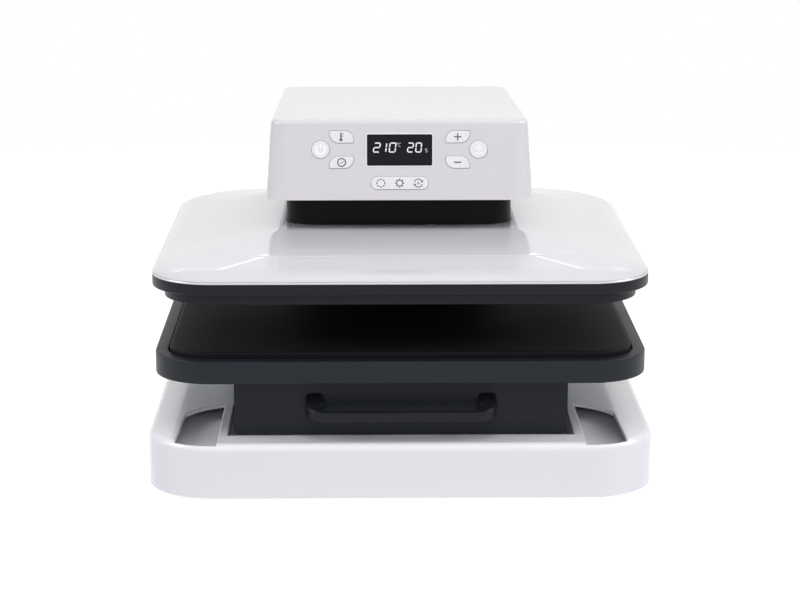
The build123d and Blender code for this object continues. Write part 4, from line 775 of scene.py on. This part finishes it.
def digit(shape, across, rise, half_width, half_height, width, lean):
    """Strokes of one digit between its corners, (±half_width, 0 or ±half_height), each shortened
    at both ends by END_GAP of its width so that neighbours don't touch."""
    grids = []
    for pair in shapes[shape].split():
        ends = np.array([corners[pair[0]], corners[pair[1]]], float) * (half_width, half_height)
        unit = (ends[1] - ends[0]) / np.linalg.norm(ends[1] - ends[0])
        ends += np.array([unit, -unit]) * width * END_GAP
        ends[:, 0] += ends[:, 1] * lean
        grids.append(stroke_grid(ends + np.array([across, rise]), width, ON_LENS))
    return grids


digits_rise = 44.2
half_tall, half_left, half_right = 3.75, 2.45, 2.2
lean_left, lean_right = 0.14, 0.08
lit = []
for shape, across in (("2", -19.0), ("1", -13.6), ("0", -5.9)):
    lit += digit(shape, across, digits_rise, half_left, half_tall, 1.0, lean_left)
for shape, across in (("2", 9.1), ("0", 15.9)):
    lit += digit(shape, across, digits_rise, half_right, half_tall, 1.0, lean_right)
printed("display_digits", "frame", "white_button", "digit_light", lit)
dim = digit("C", 0.2, digits_rise + 2.2, 0.9, 1.4, 0.4, 0.05)
dim.append(ring(-1.9, digits_rise + 3.4, 0.45, 0.3, ON_LENS))
dim += digit("s", 22.3, digits_rise - 2.4, 0.85, 1.4, 0.42, 0.05)
printed("display_units", "frame", "white_button", "digit_faint", dim)

# %% [markdown]
# ## The studio
#
# The machine stands on a pale floor in a white room. The lamps are large and
# far away, so shadows are soft and a colour comes out about as it is written.
# The white background isn't light: the camera, and the mirror images in glossy
# surfaces, simply see white there.

# %% Floor and room
def any_of(tree, *rays):
    """1 where a ray is any of the named kinds: the largest of Light Path's outputs."""
    path = tree.nodes.new("ShaderNodeLightPath")
    total = path.outputs[rays[0]]
    for ray in rays[1:]:
        larger = tree.nodes.new("ShaderNodeMath")
        larger.operation = "MAXIMUM"
        tree.links.new(total, larger.inputs[0])
        tree.links.new(path.outputs[ray], larger.inputs[1])
        total = larger.outputs["Value"]
    return total


floor_radius = 1.6
floor_sides = 96
floor_lift = 0.72
rim_angles = np.linspace(0, 2 * math.pi, floor_sides + 1)[:-1]
floor_rim = np.column_stack([np.cos(rim_angles), np.sin(rim_angles),
                             np.zeros(floor_sides)]) * floor_radius
floor_mesh = bpy.data.meshes.new("studio_floor")
floor_mesh.from_pydata(floor_rim.tolist(), [], [tuple(range(floor_sides))])
floor = bpy.data.objects.new("studio_floor", floor_mesh)
bpy.context.scene.collection.objects.link(floor)
floor_paint = bpy.data.materials.new("studio_floor")
floor_paint.use_nodes = True
floor_tree = floor_paint.node_tree
floor_surface = floor_tree.nodes["Principled BSDF"]
floor_surface.inputs["Base Color"].default_value = (0.60, 0.60, 0.61, 1.0)
floor_surface.inputs["Roughness"].default_value = 0.9
floor_surface.inputs["Specular IOR Level"].default_value = 0.0
lift = floor_tree.nodes.new("ShaderNodeEmission")
lift_share = floor_tree.nodes.new("ShaderNodeMath")
lift_share.operation = "MULTIPLY"
lift_share.inputs[1].default_value = floor_lift
floor_tree.links.new(any_of(floor_tree, "Is Camera Ray", "Is Glossy Ray", "Is Transmission Ray"),
                     lift_share.inputs[0])
floor_tree.links.new(lift_share.outputs["Value"], lift.inputs["Strength"])
floor_sum = floor_tree.nodes.new("ShaderNodeAddShader")
floor_tree.links.new(floor_surface.outputs["BSDF"], floor_sum.inputs[0])
floor_tree.links.new(lift.outputs["Emission"], floor_sum.inputs[1])
floor_tree.links.new(floor_sum.outputs["Shader"],
                     floor_tree.nodes["Material Output"].inputs["Surface"])
floor_mesh.materials.append(floor_paint)

room = bpy.data.worlds.new("studio_room")
bpy.context.scene.world = room
room.use_nodes = True
room_tree = room.node_tree
ambient = room_tree.nodes["Background"]
ambient.inputs["Color"].default_value = (0.97, 0.975, 1.0, 1.0)
ambient.inputs["Strength"].default_value = 0.12
backdrop = room_tree.nodes.new("ShaderNodeBackground")
backdrop.inputs["Color"].default_value = (1.0, 1.0, 1.0, 1.0)
backdrop.inputs["Strength"].default_value = 1.0
room_mix = room_tree.nodes.new("ShaderNodeMixShader")
room_tree.links.new(any_of(room_tree, "Is Camera Ray", "Is Glossy Ray", "Is Transmission Ray"),
                    room_mix.inputs["Fac"])
room_tree.links.new(ambient.outputs["Background"], room_mix.inputs[1])
room_tree.links.new(backdrop.outputs["Background"], room_mix.inputs[2])
room_tree.links.new(room_mix.outputs["Shader"], room_tree.nodes["World Output"].inputs["Surface"])
bpy.context.scene.view_settings.view_transform = "Standard"

# %% [markdown]
# Six broad lamps give the light its direction. The front, high and back ones are
# kept out of mirror images, where their outlines would show as hard patches. The
# two thin strips behind the machine are weak, and are there only to be mirrored:
# their images lie along the creases of the cover as fine bright lines.

# %% Lamps
def lamp(name, place, target, width, height, power, colour):
    """A soft rectangular lamp of width by height metres, aimed from its place at a target."""
    light = bpy.data.lights.new(name, "AREA")
    light.shape = "RECTANGLE"
    light.size = width
    light.size_y = height
    light.energy = power
    light.color = colour
    stand = bpy.data.objects.new(name, light)
    stand.location = place
    aim = np.array(target) - np.array(place)
    yaw = math.atan2(-aim[0], aim[1])
    tilt = math.atan2(math.hypot(aim[0], aim[1]), -aim[2])
    stand.rotation_euler = (tilt, 0.0, yaw)
    bpy.context.scene.collection.objects.link(stand)
    return stand


lamp("top_lamp", (0.0, 0.2, 2.4), (0, 0, 0.1), 2.0, 2.0, 1.5, (1.0, 0.99, 1.0))
front = lamp("front_lamp", (0.25, -2.3, 1.6), (0, 0, 0.12), 2.4, 2.4, 40.0, (1.0, 0.99, 1.0))
high = lamp("high_lamp", (0.1, -1.17, 2.3), (0, 0, 0.12), 1.6, 1.2, 11.0, (1.0, 0.985, 0.99))
lamp("left_lamp", (-2.3, -0.5, 1.6), (0, 0, 0.1), 1.6, 1.2, 29.0, (0.90, 0.95, 1.0))
lamp("right_lamp", (2.3, -0.5, 1.6), (0, 0, 0.1), 1.6, 1.2, 31.0, (0.93, 0.96, 1.0))
back = lamp("back_lamp", (0.0, 2.4, 2.0), (0, 0, 0.15), 2.2, 1.4, 12.0, (1.0, 1.0, 1.0))
for broad in (front, high, back):
    broad.visible_glossy = False
strip_distance = 2.0
strip_aim = 0.19
for strip_name, elevation in (("low_strip", 33.0), ("high_strip", 60.0)):
    strip_angle = math.radians(elevation)
    strip_place = (0.0, strip_distance * math.cos(strip_angle),
                   strip_aim + strip_distance * math.sin(strip_angle))
    lamp(strip_name, strip_place, (0, 0, strip_aim), 1.6, 0.04, 0.55, (1.0, 1.0, 1.0))
